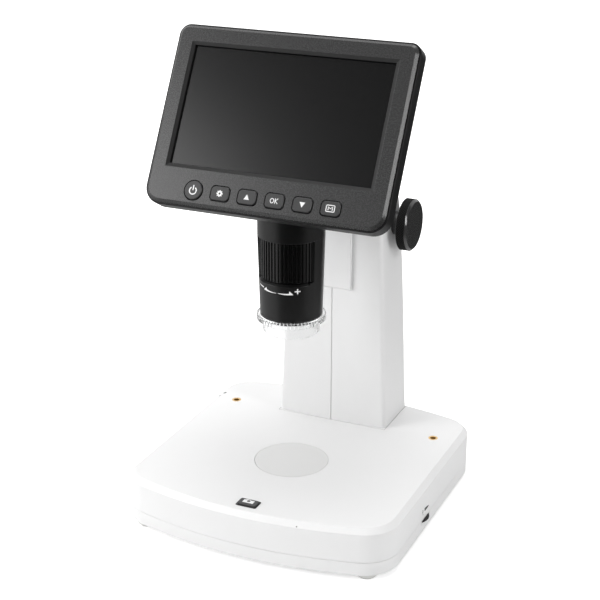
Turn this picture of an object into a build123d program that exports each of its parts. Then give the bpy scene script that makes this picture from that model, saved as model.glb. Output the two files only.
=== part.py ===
from build123d import *
from math import acos, atan2, cos, degrees, pi, radians, sin, sqrt, tan
import os

# Digital microscope with its own screen, in millimetres, +Z up.
# The origin is on the table under the middle of the base. The optical axis, the column and the
# slide all stand on the plane X = 0.

os.makedirs("parts", exist_ok=True)

# ---------------------------------------------------------------------------------------------
# Driving dimensions
# ---------------------------------------------------------------------------------------------

# Base: a top housing on a bottom tray, on four rubber feet
base_width = 157.2
base_depth = 162.7
base_body_height = 27.0
foot_height = 3.0
tray_height = 8.0
front_bow = 240.0
back_bow = 270.0
front_corner = 20.0
back_corner = 18.0
top_bevel = 2.9
base_wall = 2.4
top_plate = 3.0
tray_floor = 2.4
seam_bevel = 0.4
lip_height = 2.0
lip_wall = 1.2
foot_radius = 6.0
foot_recess = 1.0
foot_inset_side = 13.6
foot_inset_front = 16.9
foot_inset_back = 18.0

# Clearances
fit_gap = 0.15
running_gap = 0.05
slide_gap = 0.3

# Screws that hold the tray: position, boss, shank and head
tray_screw_x = 46.0
tray_screw_front = 30.0
tray_screw_back = 30.0
tray_boss_radius = 4.5
tray_boss_height = 3.6
screw_core_radius = 1.25
screw_hole_radius = 1.6
screw_head_radius = 2.8
screw_head_height = 1.8
screw_length = 10.0

# Ballast plate on the tray
weight_width = 100.0
weight_depth = 58.0
weight_thickness = 4.0
weight_front = 14.0
peg_radius = 2.0
peg_spacing = 70.0

# Stage: lit disc, reflector well and lamp board, centred on the optical axis
axis_from_back = 97.4
stage_radius = 20.5
stage_thickness = 2.0
stage_ledge = 1.6
well_height = 12.0
well_wall = 1.5
well_foot_radius = 15.0
lamp_board_thickness = 1.6
lamp_side = 3.0
lamp_height = 0.9
lamp_circle = 9.0

# Shutter button in its frame, on the base in front of the stage
shutter_inset = 10.4
shutter_width = 9.0
shutter_depth = 5.4
shutter_corner = 1.4
shutter_proud = 0.8
shutter_travel = 0.6
shutter_frame_rim = 0.9
shutter_frame_proud = 0.3
shutter_gap = 0.2
shutter_flange = 0.8
shutter_flange_height = 1.2
shutter_board_width = 27.0
shutter_board_depth = 12.0
board_thickness = 1.6
shutter_post_inset = 2.5
shutter_post_radius = 2.2
tact_side = 6.0
tact_height = 2.2

# Threaded inserts for stage clips
insert_x = 63.2
insert_behind_axis = 58.0
insert_radius = 2.75
insert_bore_radius = 1.65
insert_length = 7.0
insert_boss_radius = 5.0
insert_floor = 2.0

# Dimmer thumbwheel through the right wall of the tray
wheel_radius = 9.0
wheel_thickness = 2.3
wheel_proud = 1.7
wheel_top = 10.2
wheel_behind_axis = 3.35
wheel_stub_radius = 1.5
wheel_serrations = 36
wheel_serration_depth = 0.35
wheel_slot_gap = 0.6
pot_side = 11.0

# Slide switch in the left wall of the housing
switch_behind_axis = 71.2
switch_length = 12.4
switch_height = 5.2
switch_middle_z = 23.1
switch_depth = 7.0
switch_rim_proud = 0.7
switch_slot_length = 8.0
switch_slot_height = 2.8
nub_length = 4.6
nub_height = 2.2
nub_proud = 1.7
switch_travel = 3.0

# Supply board and its socket in the back wall
supply_board_left = 17.0
supply_board_right = 11.0
supply_board_front = 20.0
supply_board_back = 6.0
supply_post_radius = 2.4
supply_post_left = 12.0
supply_post_right = 6.0
supply_post_front = 16.0
supply_board_z = 14.0
socket_x = 44.0
socket_width = 9.0
socket_height = 3.3
socket_depth = 8.0
socket_shell = 0.4
socket_recess = 0.5
tongue_width = 6.6
tongue_height = 0.8

# Column: two tapered half shells
column_setback = 56.2
column_height = 134.0
column_base_half = 33.8
column_top_half = 28.7
column_base_depth = 38.3
column_top_depth = 30.8
column_corner = 2.4
column_front_bow = 370.0
column_wall = 2.4
column_top_round = 2.0
column_seam = 0.25
column_taper_power = 0.85
column_lean_power = 3.4
column_post_radius = 4.2
column_post_from_back = 7.5
column_post_heights = (16.0, 52.0, 88.0)
column_head_sink = 9.0

# Focus drive: module, teeth and shaft of the pinion, mast and rack
gear_module = 0.6
pinion_teeth = 18
pressure_angle = 20.0
tooth_backlash = 0.05
pinion_width = 7.0
knob_behind_axis = 78.0
knob_below_top = 14.2
knob_radius = 14.85
knob_width = 6.6
knob_start_x = 34.4
knob_bevel = 1.2
knob_cap = 1.5
shaft_radius = 2.5
shaft_left_x = 17.0
hub_radius = 6.5
hub_spigot_radius = 4.8
hub_knob_gap = 0.4
hub_seat_depth = 0.5
mast_half_width = 9.0
mast_thickness = 7.5
mast_bottom = 100.0
mast_top = 205.0
mast_cap_height = 2.5
rack_half_width = 4.0
rack_body = 2.85
rack_bottom = 139.0
rack_top = 203.0
travel_down = 45.0
travel_up = 4.0

# Guide channel and its foot plate inside the column
channel_wall = 3.85
channel_web = 2.35
channel_lip = 2.1
ear_height = 19.0
ear_reach = 5.4
bush_radius = 4.0
bush_flange_radius = 5.2
bush_flange = 0.8
foot_plate_half = 24.0
foot_plate_depth = 27.0
foot_plate_thickness = 4.0
foot_plate_inset = 3.6
plate_screw_radius = 2.0
plate_screw_head = 3.6
plate_screw_head_height = 2.4
plate_screw_side = 6.0
plate_screw_front = 8.0
plate_screw_back = 3.0
cable_hole_radius = 5.0
cable_hole_behind = 6.0

# Slide cover on the front of the column and the block behind it
cover_half_width = 12.0
cover_thickness = 1.5
cover_bottom = 114.0
cover_bevel = 0.5
block_half_width = 4.5
slot_side_gap = 0.6
slot_below_block = 0.5

# Arm between the cover and the barrel
arm_half_width = 13.0
arm_bottom = 160.0
arm_top = 194.0
arm_round = 4.0
arm_duct_half = 7.0
arm_duct_height = 12.0

# Barrel: tapered sleeve with the ring window, and the head above it
sleeve_bottom = 119.5
sleeve_bottom_radius = 16.75
ring_level = 163.0
barrel_radius = 18.0
window_bottom = 140.2
window_outer_angle = 67.4
window_inner_angle = 58.0
window_ledge_bevel = 1.1
sleeve_ring_wall = 0.75
nose_bore = 15.0
nose_guide_bore = 14.3
camera_bore = 15.8
cable_bore = 12.0
camera_level = 176.0
cable_bore_top = 184.0
camera_board_side = 22.0
sensor_side = 8.0
sensor_height = 1.8

# Focus ring and lens carrier
rib_count = 50
rib_depth = 0.7
ring_end_gap = 0.4
ring_bore = 14.3
carrier_radius = 13.9
carrier_bore = 10.5
carrier_bottom = 127.0
carrier_length = 41.0
carrier_rim = 1.2
lens_radius = 10.5
lens_bulge_radius = 16.0
lens_edge = 2.0
lens_bottom = 129.0

# Lamp ring at the nose and the clear tip under it
lamp_ring_bore = 9.0
lamp_ring_thickness = 1.6
lamp_ring_count = 8
lamp_ring_circle = 11.8
lamp_ring_gap = 0.1
tip_bottom = 108.3
tip_radius = 15.3
tip_wall = 1.7
tip_web_bottom = 115.7
collar_radius = 18.6
collar_top = 121.5
collar_ribs = 54
collar_rib_depth = 0.45
tip_bevel = 1.3

# Monitor: position and tilt of its face, outline, bezel and rear shell
monitor_tilt = 29.43
face_ahead_of_axis = 13.46
face_z = 231.0
barrel_behind_shell = 2.0
shell_half_width = 66.8
shell_top = 42.4
shell_bottom = 54.1
shell_top_corner = 6.0
shell_bottom_corner = 9.5
bezel_step = 1.0
bezel_thickness = 3.0
bezel_rim = 2.0
bezel_bevel = 1.5
shell_edge_bevel = 0.3
shell_straight = 8.0
shell_crown = 10.0
shell_crown_inset = 8.0
crown_corner = 2.5
shell_wall = 2.0
window_half_width = 57.4
window_half_height = 33.6
window_v = -0.7
window_bevel = 1.9
window_bevel_depth = 0.7
glass_thickness = 1.4
glass_margin = 1.5
panel_half_width = 60.0
panel_half_height = 36.5
panel_thickness = 3.2
logic_half_width = 45.0
logic_half_height = 26.0
logic_depth = 9.0
chip_side = 14.0
chip_height = 1.2
battery_half_width = 28.0
battery_half_height = 18.0
battery_thickness = 5.0
battery_depth = 13.0
vent_count = 9
vent_pitch = 5.0
vent_length = 14.0
vent_width = 1.6
vent_v = 24.0
monitor_post_radius = 3.0
monitor_post_length = 11.0
monitor_post_u = 48.5
monitor_post_v = -42.0

# Monitor buttons
button_pitch = 15.14
button_row_u = -0.45
button_row_v = -45.15
power_radius = 4.9
button_width = 10.1
button_height = 7.3
button_corner = 2.0
button_gap = 0.55
button_bevel = 0.35
button_proud = 0.7
button_travel = 0.5
button_flange = 0.6
button_seat = 1.75
button_flange_gap = 0.05
button_stem = 2.6
keypad_depth = 4.2
keypad_board_height = 10.0
keypad_thickness = 1.2
dome_side = 4.0
dome_height = 1.0

# Tilt hinge behind the monitor
hinge_v = -10.0
hinge_behind_face = 31.0
knuckle_half_width = 15.3
knuckle_radius = 5.5
knuckle_pad = 3.0
knuckle_pad_half_height = 12.0
pin_radius = 2.5
ear_gap = 0.3
ear_thickness = 4.0
ear_radius = 6.5
pin_overhang = 0.8
bracket_plate = 2.5
bracket_front = 4.0
bracket_back = 19.0
bracket_screw_x = 8.0
bracket_screw_pitch = 12.0
bracket_screw_radius = 1.5
bracket_screw_depth = 6.0
bracket_head_radius = 2.6
bracket_head_height = 1.4

# ---------------------------------------------------------------------------------------------
# Derived positions
# ---------------------------------------------------------------------------------------------

front_y = -base_depth / 2
back_y = base_depth / 2
axis_y = back_y - axis_from_back
seam_z = foot_height + tray_height
base_top = foot_height + base_body_height
ceiling_z = base_top - top_plate
floor_z = foot_height + tray_floor
boss_top = floor_z + tray_boss_height

foot_points = [(side * (base_width / 2 - foot_inset_side), y)
               for side in (-1, 1)
               for y in (front_y + foot_inset_front, back_y - foot_inset_back)]
tray_screw_points = [(side * tray_screw_x, y)
                     for side in (-1, 1)
                     for y in (front_y + tray_screw_front, back_y - tray_screw_back)]
insert_points = [(side * insert_x, axis_y + insert_behind_axis) for side in (-1, 1)]

optic_axis = Axis((0, axis_y, 0), (0, 0, 1))
optic_plane = Plane.XZ.offset(-axis_y)

column_front_y = axis_y + column_setback
column_top = base_top + column_height
column_back_bow = back_bow - top_bevel
knob_y = axis_y + knob_behind_axis
knob_z = column_top - knob_below_top
pinion_radius = gear_module * pinion_teeth / 2
rack_pitch_y = knob_y - pinion_radius
tooth_addendum = gear_module
tooth_dedendum = 1.25 * gear_module
rack_root_y = rack_pitch_y - tooth_dedendum
rack_tip_y = rack_pitch_y + tooth_addendum
mast_back_y = rack_root_y - rack_body
mast_front_y = mast_back_y - mast_thickness
cover_back_y = column_front_y - slide_gap
cover_front_y = cover_back_y - cover_thickness
slot_bottom = cover_bottom + 2 * cover_bevel + slot_below_block
block_bottom = slot_bottom + travel_down + slot_below_block

monitor = Plane(origin=(0, axis_y - face_ahead_of_axis, face_z), x_dir=(1, 0, 0),
                z_dir=(0, -cos(radians(monitor_tilt)), sin(radians(monitor_tilt))))
hinge_point = monitor.from_local_coords(Vector(0, hinge_v, -hinge_behind_face))
face_normal = Axis((0, 0, 0), monitor.z_dir)
bracket_screw_points = [(side * bracket_screw_x, axis_y + y) for side in (-1, 1) for y in (0, bracket_screw_pitch)]
shell_back = bezel_rim + shell_straight + shell_crown
glass_back = bezel_thickness + glass_thickness
head_clearance = shell_back + barrel_behind_shell
monitor_posts = [(side * monitor_post_u, monitor_post_v) for side in (-1, 1)]
monitor_boss_start = bezel_thickness + monitor_post_length
monitor_head_depth = shell_back - screw_head_height - 0.7


def save(part, name):
    """Label a finished piece and write it as its own STEP file."""
    part.part.label = name
    export_step(part.part, "parts/" + name + ".step")


def base_outline(plane, inset=0.0):
    """Plan of the base: straight sides, bowed front and back, round corners."""
    with BuildSketch(plane) as outline:
        Rectangle(base_width, base_depth)
        with Locations((0, front_y + front_bow)):
            Circle(front_bow, mode=Mode.INTERSECT)
        with Locations((0, back_y - back_bow)):
            Circle(back_bow, mode=Mode.INTERSECT)
        fillet(outline.vertices().group_by(Axis.Y)[0], front_corner)
        fillet(outline.vertices().group_by(Axis.Y)[-1], back_corner)
        if inset:
            offset(amount=-inset)
    return outline.sketch


def discs(z, radius, points, height, mode=Mode.ADD):
    """Round bosses or holes at points of a level plane, from z up (or down) by height."""
    with BuildSketch(Plane.XY.offset(z)) as rounds:
        with Locations(*points):
            Circle(radius)
    extrude(rounds.sketch, amount=height, mode=mode)


def block(low, high, mode=Mode.ADD):
    """Rectangular solid between two opposite corners."""
    with BuildSketch(Plane.XY.offset(low[2])) as plan:
        with Locations(((low[0] + high[0]) / 2, (low[1] + high[1]) / 2)):
            Rectangle(high[0] - low[0], high[1] - low[1])
    extrude(plan.sketch, amount=high[2] - low[2], mode=mode)


def turned(points, mode=Mode.ADD):
    """Solid of revolution about the optical axis from (radius, z) points."""
    with BuildSketch(optic_plane) as profile:
        with BuildLine():
            Polyline(*points, close=True)
        make_face()
    revolve(profile.sketch, axis=optic_axis, mode=mode)


def cross_rod(x_from, x_to, y, z, radius, mode=Mode.ADD):
    """Round bar or hole along X."""
    with BuildSketch(Plane.YZ.offset(x_from)) as rounds:
        with Locations((y, z)):
            Circle(radius)
    extrude(rounds.sketch, amount=x_to - x_from, mode=mode)


# ---------------------------------------------------------------------------------------------
# Base
# ---------------------------------------------------------------------------------------------

wheel_x = base_width / 2 + wheel_proud - wheel_radius
wheel_y = axis_y + wheel_behind_axis
wheel_bottom = wheel_top - wheel_thickness
wheel_chord = sqrt(wheel_radius ** 2 - (wheel_radius - wheel_proud) ** 2)
switch_y = axis_y + switch_behind_axis
switch_face_x = -base_width / 2 - switch_rim_proud
shutter_y = front_y + shutter_inset
frame_width = shutter_width + 2 * (shutter_gap + shutter_frame_rim)
frame_depth = shutter_depth + 2 * (shutter_gap + shutter_frame_rim)
frame_corner = shutter_corner + shutter_frame_rim
shutter_board_top = ceiling_z - shutter_flange_height - shutter_travel - tact_height - fit_gap
shutter_post_x = shutter_board_width / 2 - shutter_post_inset
socket_y = back_y - (back_bow - sqrt(back_bow ** 2 - socket_x ** 2)) - socket_recess
socket_z = supply_board_z + board_thickness + socket_height / 2
plate_screw_points = [(side * (foot_plate_half - plate_screw_side), column_front_y + column_wall + y)
                      for side in (-1, 1)
                      for y in (plate_screw_front, foot_plate_depth - plate_screw_back)]
column_middle_y = column_front_y + column_base_depth / 2

with BuildPart() as base_housing:
    extrude(base_outline(Plane.XY.offset(seam_z)), amount=base_top - seam_z)
    chamfer(base_housing.faces().sort_by(Axis.Z)[-1].edges(), top_bevel)
    extrude(base_outline(Plane.XY.offset(seam_z), inset=base_wall), amount=ceiling_z - seam_z, mode=Mode.SUBTRACT)
    discs(ceiling_z, insert_boss_radius, insert_points, top_plate - insert_length - insert_floor)
    discs(base_top, insert_radius, insert_points, -insert_length, Mode.SUBTRACT)
    discs(boss_top, tray_boss_radius, tray_screw_points, ceiling_z - boss_top)
    discs(boss_top, screw_core_radius, tray_screw_points, screw_length, Mode.SUBTRACT)
    discs(base_top, stage_radius + fit_gap, [(0, axis_y)], -stage_thickness, Mode.SUBTRACT)
    discs(base_top, stage_radius - stage_ledge, [(0, axis_y)], -top_plate, Mode.SUBTRACT)
    with BuildSketch(Plane.XY.offset(base_top)):
        with Locations((0, shutter_y)):
            RectangleRounded(frame_width, frame_depth, frame_corner)
    extrude(amount=-top_plate, mode=Mode.SUBTRACT)
    discs(ceiling_z, shutter_post_radius, [(-shutter_post_x, shutter_y), (shutter_post_x, shutter_y)],
          shutter_board_top - ceiling_z)
    discs(base_top, plate_screw_radius + fit_gap, plate_screw_points, -top_plate, Mode.SUBTRACT)
    discs(base_top, cable_hole_radius, [(0, column_middle_y + cable_hole_behind)], -top_plate, Mode.SUBTRACT)
    block((-base_width, switch_y - switch_length / 2, switch_middle_z - switch_height / 2),
          (switch_face_x + switch_depth + fit_gap, switch_y + switch_length / 2,
           switch_middle_z + switch_height / 2), Mode.SUBTRACT)
    block((socket_x - socket_width / 2 - fit_gap, socket_y - socket_depth,
           socket_z - socket_height / 2 - fit_gap),
          (socket_x + socket_width / 2 + fit_gap, back_y + 1,
           socket_z + socket_height / 2 + fit_gap), Mode.SUBTRACT)
save(base_housing, "base_housing")

with BuildPart() as base_tray:
    extrude(base_outline(Plane.XY.offset(foot_height)), amount=tray_height)
    chamfer(base_tray.faces().sort_by(Axis.Z)[-1].edges(), seam_bevel)
    chamfer(base_tray.faces().sort_by(Axis.Z)[0].edges(), seam_bevel)
    extrude(base_outline(Plane.XY.offset(floor_z), inset=base_wall), amount=tray_height, mode=Mode.SUBTRACT)
    extrude(base_outline(Plane.XY.offset(seam_z - lip_height), inset=base_wall), amount=lip_height - fit_gap)
    extrude(base_outline(Plane.XY.offset(seam_z - fit_gap), inset=base_wall + fit_gap), amount=lip_height)
    extrude(base_outline(Plane.XY.offset(seam_z - lip_height), inset=base_wall + fit_gap + lip_wall), amount=2 * lip_height, mode=Mode.SUBTRACT)
    discs(floor_z, tray_boss_radius, tray_screw_points, tray_boss_height)
    discs(foot_height, screw_hole_radius, tray_screw_points, tray_height, Mode.SUBTRACT)
    discs(foot_height, screw_head_radius + fit_gap, tray_screw_points, tray_floor, Mode.SUBTRACT)
    discs(foot_height, foot_radius + fit_gap, foot_points, foot_recess, Mode.SUBTRACT)
    discs(floor_z, peg_radius, [(-peg_spacing / 2, front_y + weight_front + weight_depth / 2),
                                (peg_spacing / 2, front_y + weight_front + weight_depth / 2)],
          weight_thickness)
    block((wheel_x, wheel_y - wheel_chord - wheel_slot_gap, wheel_bottom - wheel_slot_gap / 2),
          (base_width, wheel_y + wheel_chord + wheel_slot_gap, seam_z), Mode.SUBTRACT)
    discs(wheel_bottom - wheel_slot_gap / 2, wheel_radius + wheel_slot_gap, [(wheel_x, wheel_y)],
          seam_z + 2 * lip_height, Mode.SUBTRACT)
save(base_tray, "base_tray")

with BuildPart() as rubber_feet:
    discs(0, foot_radius, foot_points, foot_height + foot_recess)
    chamfer(rubber_feet.faces().group_by(Axis.Z)[0].edges(), foot_recess)
save(rubber_feet, "rubber_feet")

with BuildPart() as base_weight:
    with BuildSketch(Plane.XY.offset(floor_z)):
        with Locations((0, front_y + weight_front + weight_depth / 2)):
            RectangleRounded(weight_width, weight_depth, front_corner / 2)
            with Locations((-peg_spacing / 2, 0), (peg_spacing / 2, 0)):
                Circle(peg_radius + fit_gap, mode=Mode.SUBTRACT)
        with Locations(*tray_screw_points):
            Circle(tray_boss_radius + slide_gap, mode=Mode.SUBTRACT)
    extrude(amount=weight_thickness)
save(base_weight, "base_weight")

with BuildPart() as stage_disc:
    discs(base_top - stage_thickness, stage_radius, [(0, axis_y)], stage_thickness)
save(stage_disc, "stage_disc")

well_top_radius = stage_radius - stage_ledge
well_bottom = ceiling_z - well_height
with BuildPart() as light_well:
    turned([(well_top_radius, ceiling_z), (well_top_radius + well_wall, ceiling_z),
            (well_top_radius + well_wall, ceiling_z - well_wall),
            (well_foot_radius + well_wall, well_bottom), (well_foot_radius, well_bottom)])
save(light_well, "light_well")

with BuildPart() as stage_lamp_board:
    discs(well_bottom - lamp_board_thickness, well_foot_radius + well_wall, [(0, axis_y)],
          lamp_board_thickness)
    with BuildSketch(Plane.XY.offset(well_bottom)):
        with Locations((0, axis_y)):
            Rectangle(lamp_side, lamp_side)
            with PolarLocations(lamp_circle, 6):
                Rectangle(lamp_side, lamp_side)
    extrude(amount=lamp_height)
save(stage_lamp_board, "stage_lamp_board")

with BuildPart() as shutter_frame:
    with BuildSketch(Plane.XY.offset(ceiling_z)):
        with Locations((0, shutter_y)):
            RectangleRounded(frame_width, frame_depth, frame_corner)
            RectangleRounded(shutter_width + 2 * shutter_gap, shutter_depth + 2 * shutter_gap,
                             shutter_corner + shutter_gap, mode=Mode.SUBTRACT)
    extrude(amount=top_plate + shutter_frame_proud)
save(shutter_frame, "shutter_frame")

flange_top = ceiling_z - shutter_gap / 2
with BuildPart() as shutter_button:
    with BuildSketch(Plane.XY.offset(flange_top)):
        with Locations((0, shutter_y)):
            RectangleRounded(shutter_width, shutter_depth, shutter_corner)
    extrude(amount=base_top + shutter_proud - flange_top)
    chamfer(shutter_button.faces().sort_by(Axis.Z)[-1].edges(), shutter_gap)
    with BuildSketch(Plane.XY.offset(flange_top)):
        with Locations((0, shutter_y)):
            RectangleRounded(shutter_width + 2 * shutter_flange, shutter_depth + 2 * shutter_flange,
                             shutter_corner)
    extrude(amount=-shutter_flange_height + shutter_gap / 2)
save(shutter_button, "shutter_button")

with BuildPart() as shutter_board:
    block((-shutter_board_width / 2, shutter_y - shutter_board_depth / 2,
           shutter_board_top - board_thickness),
          (shutter_board_width / 2, shutter_y + shutter_board_depth / 2, shutter_board_top))
    block((-tact_side / 2, shutter_y - tact_side / 2, shutter_board_top),
          (tact_side / 2, shutter_y + tact_side / 2, shutter_board_top + tact_height))
save(shutter_board, "shutter_board")

with BuildPart() as clip_inserts:
    discs(base_top, insert_radius, insert_points, -insert_length)
    discs(base_top, insert_bore_radius, insert_points, -insert_length, Mode.SUBTRACT)
save(clip_inserts, "clip_inserts")

# Thumbwheel with a serrated rim and a stub that turns in the potentiometer
with BuildPart() as dimmer_wheel:
    discs(wheel_bottom, wheel_radius, [(wheel_x, wheel_y)], wheel_thickness)
    with BuildSketch(Plane.XY.offset(wheel_bottom)):
        with Locations((wheel_x, wheel_y)):
            with PolarLocations(wheel_radius, wheel_serrations):
                Rectangle(2 * wheel_serration_depth, 2 * wheel_serration_depth, rotation=45)
    extrude(amount=wheel_thickness, mode=Mode.SUBTRACT)
    discs(wheel_bottom, wheel_stub_radius, [(wheel_x, wheel_y)], floor_z - wheel_bottom + fit_gap)
save(dimmer_wheel, "dimmer_wheel")

with BuildPart() as dimmer_pot:
    block((wheel_x - pot_side / 2, wheel_y - pot_side / 2, floor_z),
          (wheel_x + pot_side / 2 - 1, wheel_y + pot_side / 2, wheel_bottom - slide_gap))
    discs(floor_z, wheel_stub_radius + running_gap, [(wheel_x, wheel_y)],
          wheel_bottom - floor_z, Mode.SUBTRACT)
save(dimmer_pot, "dimmer_pot")

# Slide switch: a rectangular body with a slot, and the nub that slides in it
with BuildPart() as switch_body:
    block((switch_face_x, switch_y - switch_length / 2, switch_middle_z - switch_height / 2),
          (switch_face_x + switch_depth, switch_y + switch_length / 2,
           switch_middle_z + switch_height / 2))
    block((switch_face_x, switch_y - switch_slot_length / 2,
           switch_middle_z - switch_slot_height / 2),
          (switch_face_x + switch_depth / 2, switch_y + switch_slot_length / 2,
           switch_middle_z + switch_slot_height / 2), Mode.SUBTRACT)
save(switch_body, "switch_body")

nub_rest_y = switch_y + switch_travel / 2
with BuildPart() as switch_nub:
    block((-base_width / 2 - nub_proud, nub_rest_y - nub_length / 2, switch_middle_z - nub_height / 2),
          (switch_face_x + switch_depth / 2 - fit_gap, nub_rest_y + nub_length / 2,
           switch_middle_z + nub_height / 2))
    chamfer(switch_nub.faces().sort_by(Axis.X)[0].edges(), shutter_gap)
save(switch_nub, "switch_nub")

# Supply board on two posts of the tray, with its socket at the back wall
with BuildPart() as supply_board:
    block((socket_x - supply_board_left, socket_y - supply_board_front, supply_board_z),
          (socket_x + supply_board_right, socket_y - supply_board_back,
           supply_board_z + board_thickness))
    discs(supply_board_z, supply_post_radius,
          [(socket_x + x, socket_y - supply_post_front) for x in (-supply_post_left, supply_post_right)],
          floor_z - supply_board_z)
save(supply_board, "supply_board")

with BuildPart() as power_socket:
    with BuildSketch(Plane.XZ.offset(-socket_y)):
        with Locations((socket_x, socket_z)):
            RectangleRounded(socket_width, socket_height, socket_height / 2 - 0.1)
    extrude(amount=socket_depth)
    with BuildSketch(Plane.XZ.offset(-socket_y)):
        with Locations((socket_x, socket_z)):
            RectangleRounded(socket_width - 2 * socket_shell, socket_height - 2 * socket_shell,
                             socket_height / 2 - socket_shell - 0.1)
            Rectangle(tongue_width, tongue_height, mode=Mode.SUBTRACT)
    extrude(amount=socket_depth - 1, mode=Mode.SUBTRACT)
save(power_socket, "power_socket")

# ---------------------------------------------------------------------------------------------
# Column
# ---------------------------------------------------------------------------------------------


def column_half_width(z):
    """Half width of the column at height z."""
    rise = (z - base_top) / column_height
    return column_base_half - (column_base_half - column_top_half) * rise ** column_taper_power


def column_depth(z):
    """Depth of the column at height z: its back leans forward towards the top."""
    rise = (z - base_top) / column_height
    return column_base_depth - (column_base_depth - column_top_depth) * rise ** column_lean_power


def column_form(top, inset=0.0):
    """Tapered form of the column from the base up to top, drawn in by inset."""
    with BuildPart() as form:
        for step in range(4):
            z = base_top + (top - base_top) * step / 3
            depth = column_depth(z)
            with BuildSketch(Plane.XY.offset(z)) as section:
                with Locations((0, column_front_y + depth / 2)):
                    Rectangle(2 * column_half_width(z), depth)
                with Locations((0, column_front_y + column_front_bow)):
                    Circle(column_front_bow, mode=Mode.INTERSECT)
                with Locations((0, column_front_y + depth - column_back_bow)):
                    Circle(column_back_bow, mode=Mode.INTERSECT)
                fillet(section.vertices(), column_corner)
                if inset:
                    offset(amount=-inset)
        loft()
    return form.part


column_outside = column_form(column_top)
column_inside = column_form(column_top - column_wall, column_wall)
post_points = []
for height in column_post_heights:
    post_z = base_top + height
    post_y = column_front_y + column_depth(post_z) - column_post_from_back
    post_points.append((post_y, post_z))


def column_shell(side):
    """One half of the column's shell: side is -1 for the left half, 1 for the right."""
    with BuildPart() as shell:
        add(column_outside)
        fillet(shell.faces().sort_by(Axis.Z)[-1].edges(), column_top_round)
        add(column_inside, mode=Mode.SUBTRACT)
        for y, z in post_points:
            reach = column_half_width(z) - column_wall / 2
            cross_rod(0, side * reach, y, z, column_post_radius)
        split(bisect_by=Plane.YZ, keep=Keep.TOP if side > 0 else Keep.BOTTOM)
        block((-mast_half_width - slot_side_gap, mast_front_y - slot_side_gap, column_top - column_wall),
              (mast_half_width + slot_side_gap, rack_tip_y + slot_side_gap, column_top),
              Mode.SUBTRACT)
        block((-block_half_width - slot_side_gap, column_front_y - 1, slot_bottom),
              (block_half_width + slot_side_gap, mast_front_y, column_top), Mode.SUBTRACT)
        block((-column_seam, column_front_y - 1, base_top),
              (column_seam, column_front_y + column_seam, column_top), Mode.SUBTRACT)
        if side > 0:
            cross_rod(0, base_width, knob_y, knob_z, hub_spigot_radius, Mode.SUBTRACT)
            cross_rod(hub_seat_x, base_width, knob_y, knob_z, hub_radius + fit_gap, Mode.SUBTRACT)
            for y, z in post_points:
                cross_rod(0, screw_length, y, z, screw_core_radius, Mode.SUBTRACT)
        else:
            for y, z in post_points:
                head_x = -column_half_width(z) + column_head_sink
                cross_rod(0, -base_width, y, z, screw_hole_radius, Mode.SUBTRACT)
                cross_rod(head_x, -base_width, y, z, screw_head_radius + fit_gap, Mode.SUBTRACT)
    return shell


hub_seat_x = column_half_width(knob_z) - hub_seat_depth
column_left_shell = column_shell(-1)
save(column_left_shell, "column_left_shell")
column_right_shell = column_shell(1)
save(column_right_shell, "column_right_shell")

with BuildPart() as column_screws:
    for y, z in post_points:
        head_x = -column_half_width(z) + column_head_sink
        cross_rod(head_x, screw_length - 1, y, z, screw_core_radius)
        cross_rod(head_x, head_x - screw_head_height, y, z, screw_head_radius)
save(column_screws, "column_screws")

foot_plate_front = column_front_y + foot_plate_inset
with BuildPart() as foot_plate:
    block((-foot_plate_half, foot_plate_front, base_top),
          (foot_plate_half, foot_plate_front + foot_plate_depth, base_top + foot_plate_thickness))
    discs(base_top, plate_screw_radius, plate_screw_points, foot_plate_thickness, Mode.SUBTRACT)
    discs(base_top, cable_hole_radius, [(0, column_middle_y + cable_hole_behind)], foot_plate_thickness,
          Mode.SUBTRACT)
save(foot_plate, "foot_plate")

with BuildPart() as base_screws:
    discs(floor_z, screw_core_radius, tray_screw_points, screw_length)
    discs(floor_z, screw_head_radius, tray_screw_points, -screw_head_height)
    discs(ceiling_z, plate_screw_radius, plate_screw_points, top_plate + foot_plate_thickness)
    discs(ceiling_z, plate_screw_head, plate_screw_points, -plate_screw_head_height)
save(base_screws, "base_screws")

# Guide channel: a C section that the mast slides in, open in front above the slot for the block,
# with two ears that carry the pinion shaft
channel_bottom = base_top + foot_plate_thickness
channel_top = column_top - column_wall - slide_gap
pocket_half = mast_half_width + fit_gap
channel_half = pocket_half + channel_wall
pocket_front = mast_front_y - fit_gap
pocket_back = mast_back_y + fit_gap
ear_bottom = knob_z - ear_height / 2
with BuildPart() as guide_channel:
    block((-channel_half, pocket_front - channel_web, channel_bottom),
          (channel_half, pocket_back + channel_lip, channel_top))
    block((-pocket_half, pocket_front, channel_bottom), (pocket_half, pocket_back, channel_top),
          Mode.SUBTRACT)
    block((-rack_half_width - slide_gap, pocket_back, channel_bottom),
          (rack_half_width + slide_gap, pocket_back + channel_lip, channel_top), Mode.SUBTRACT)
    block((-block_half_width - slot_side_gap, pocket_front - channel_web, slot_bottom),
          (block_half_width + slot_side_gap, pocket_front, channel_top), Mode.SUBTRACT)
    for side in (-1, 1):
        ear_inner = side * (channel_half - channel_wall)
        ear_outer = side * channel_half
        block((min(ear_inner, ear_outer), pocket_back, ear_bottom),
              (max(ear_inner, ear_outer), knob_y + ear_reach, ear_bottom + ear_height))
    cross_rod(-channel_half, channel_half, knob_y, knob_z, bush_radius, Mode.SUBTRACT)
save(guide_channel, "guide_channel")

with BuildPart() as shaft_bushes:
    for side in (-1, 1):
        inner = side * pocket_half
        outer = side * channel_half
        cross_rod(inner, outer, knob_y, knob_z, bush_radius)
        cross_rod(outer, outer + side * bush_flange, knob_y, knob_z, bush_flange_radius)
    cross_rod(-base_width / 2, base_width / 2, knob_y, knob_z, shaft_radius + running_gap,
              Mode.SUBTRACT)
save(shaft_bushes, "shaft_bushes")

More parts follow.
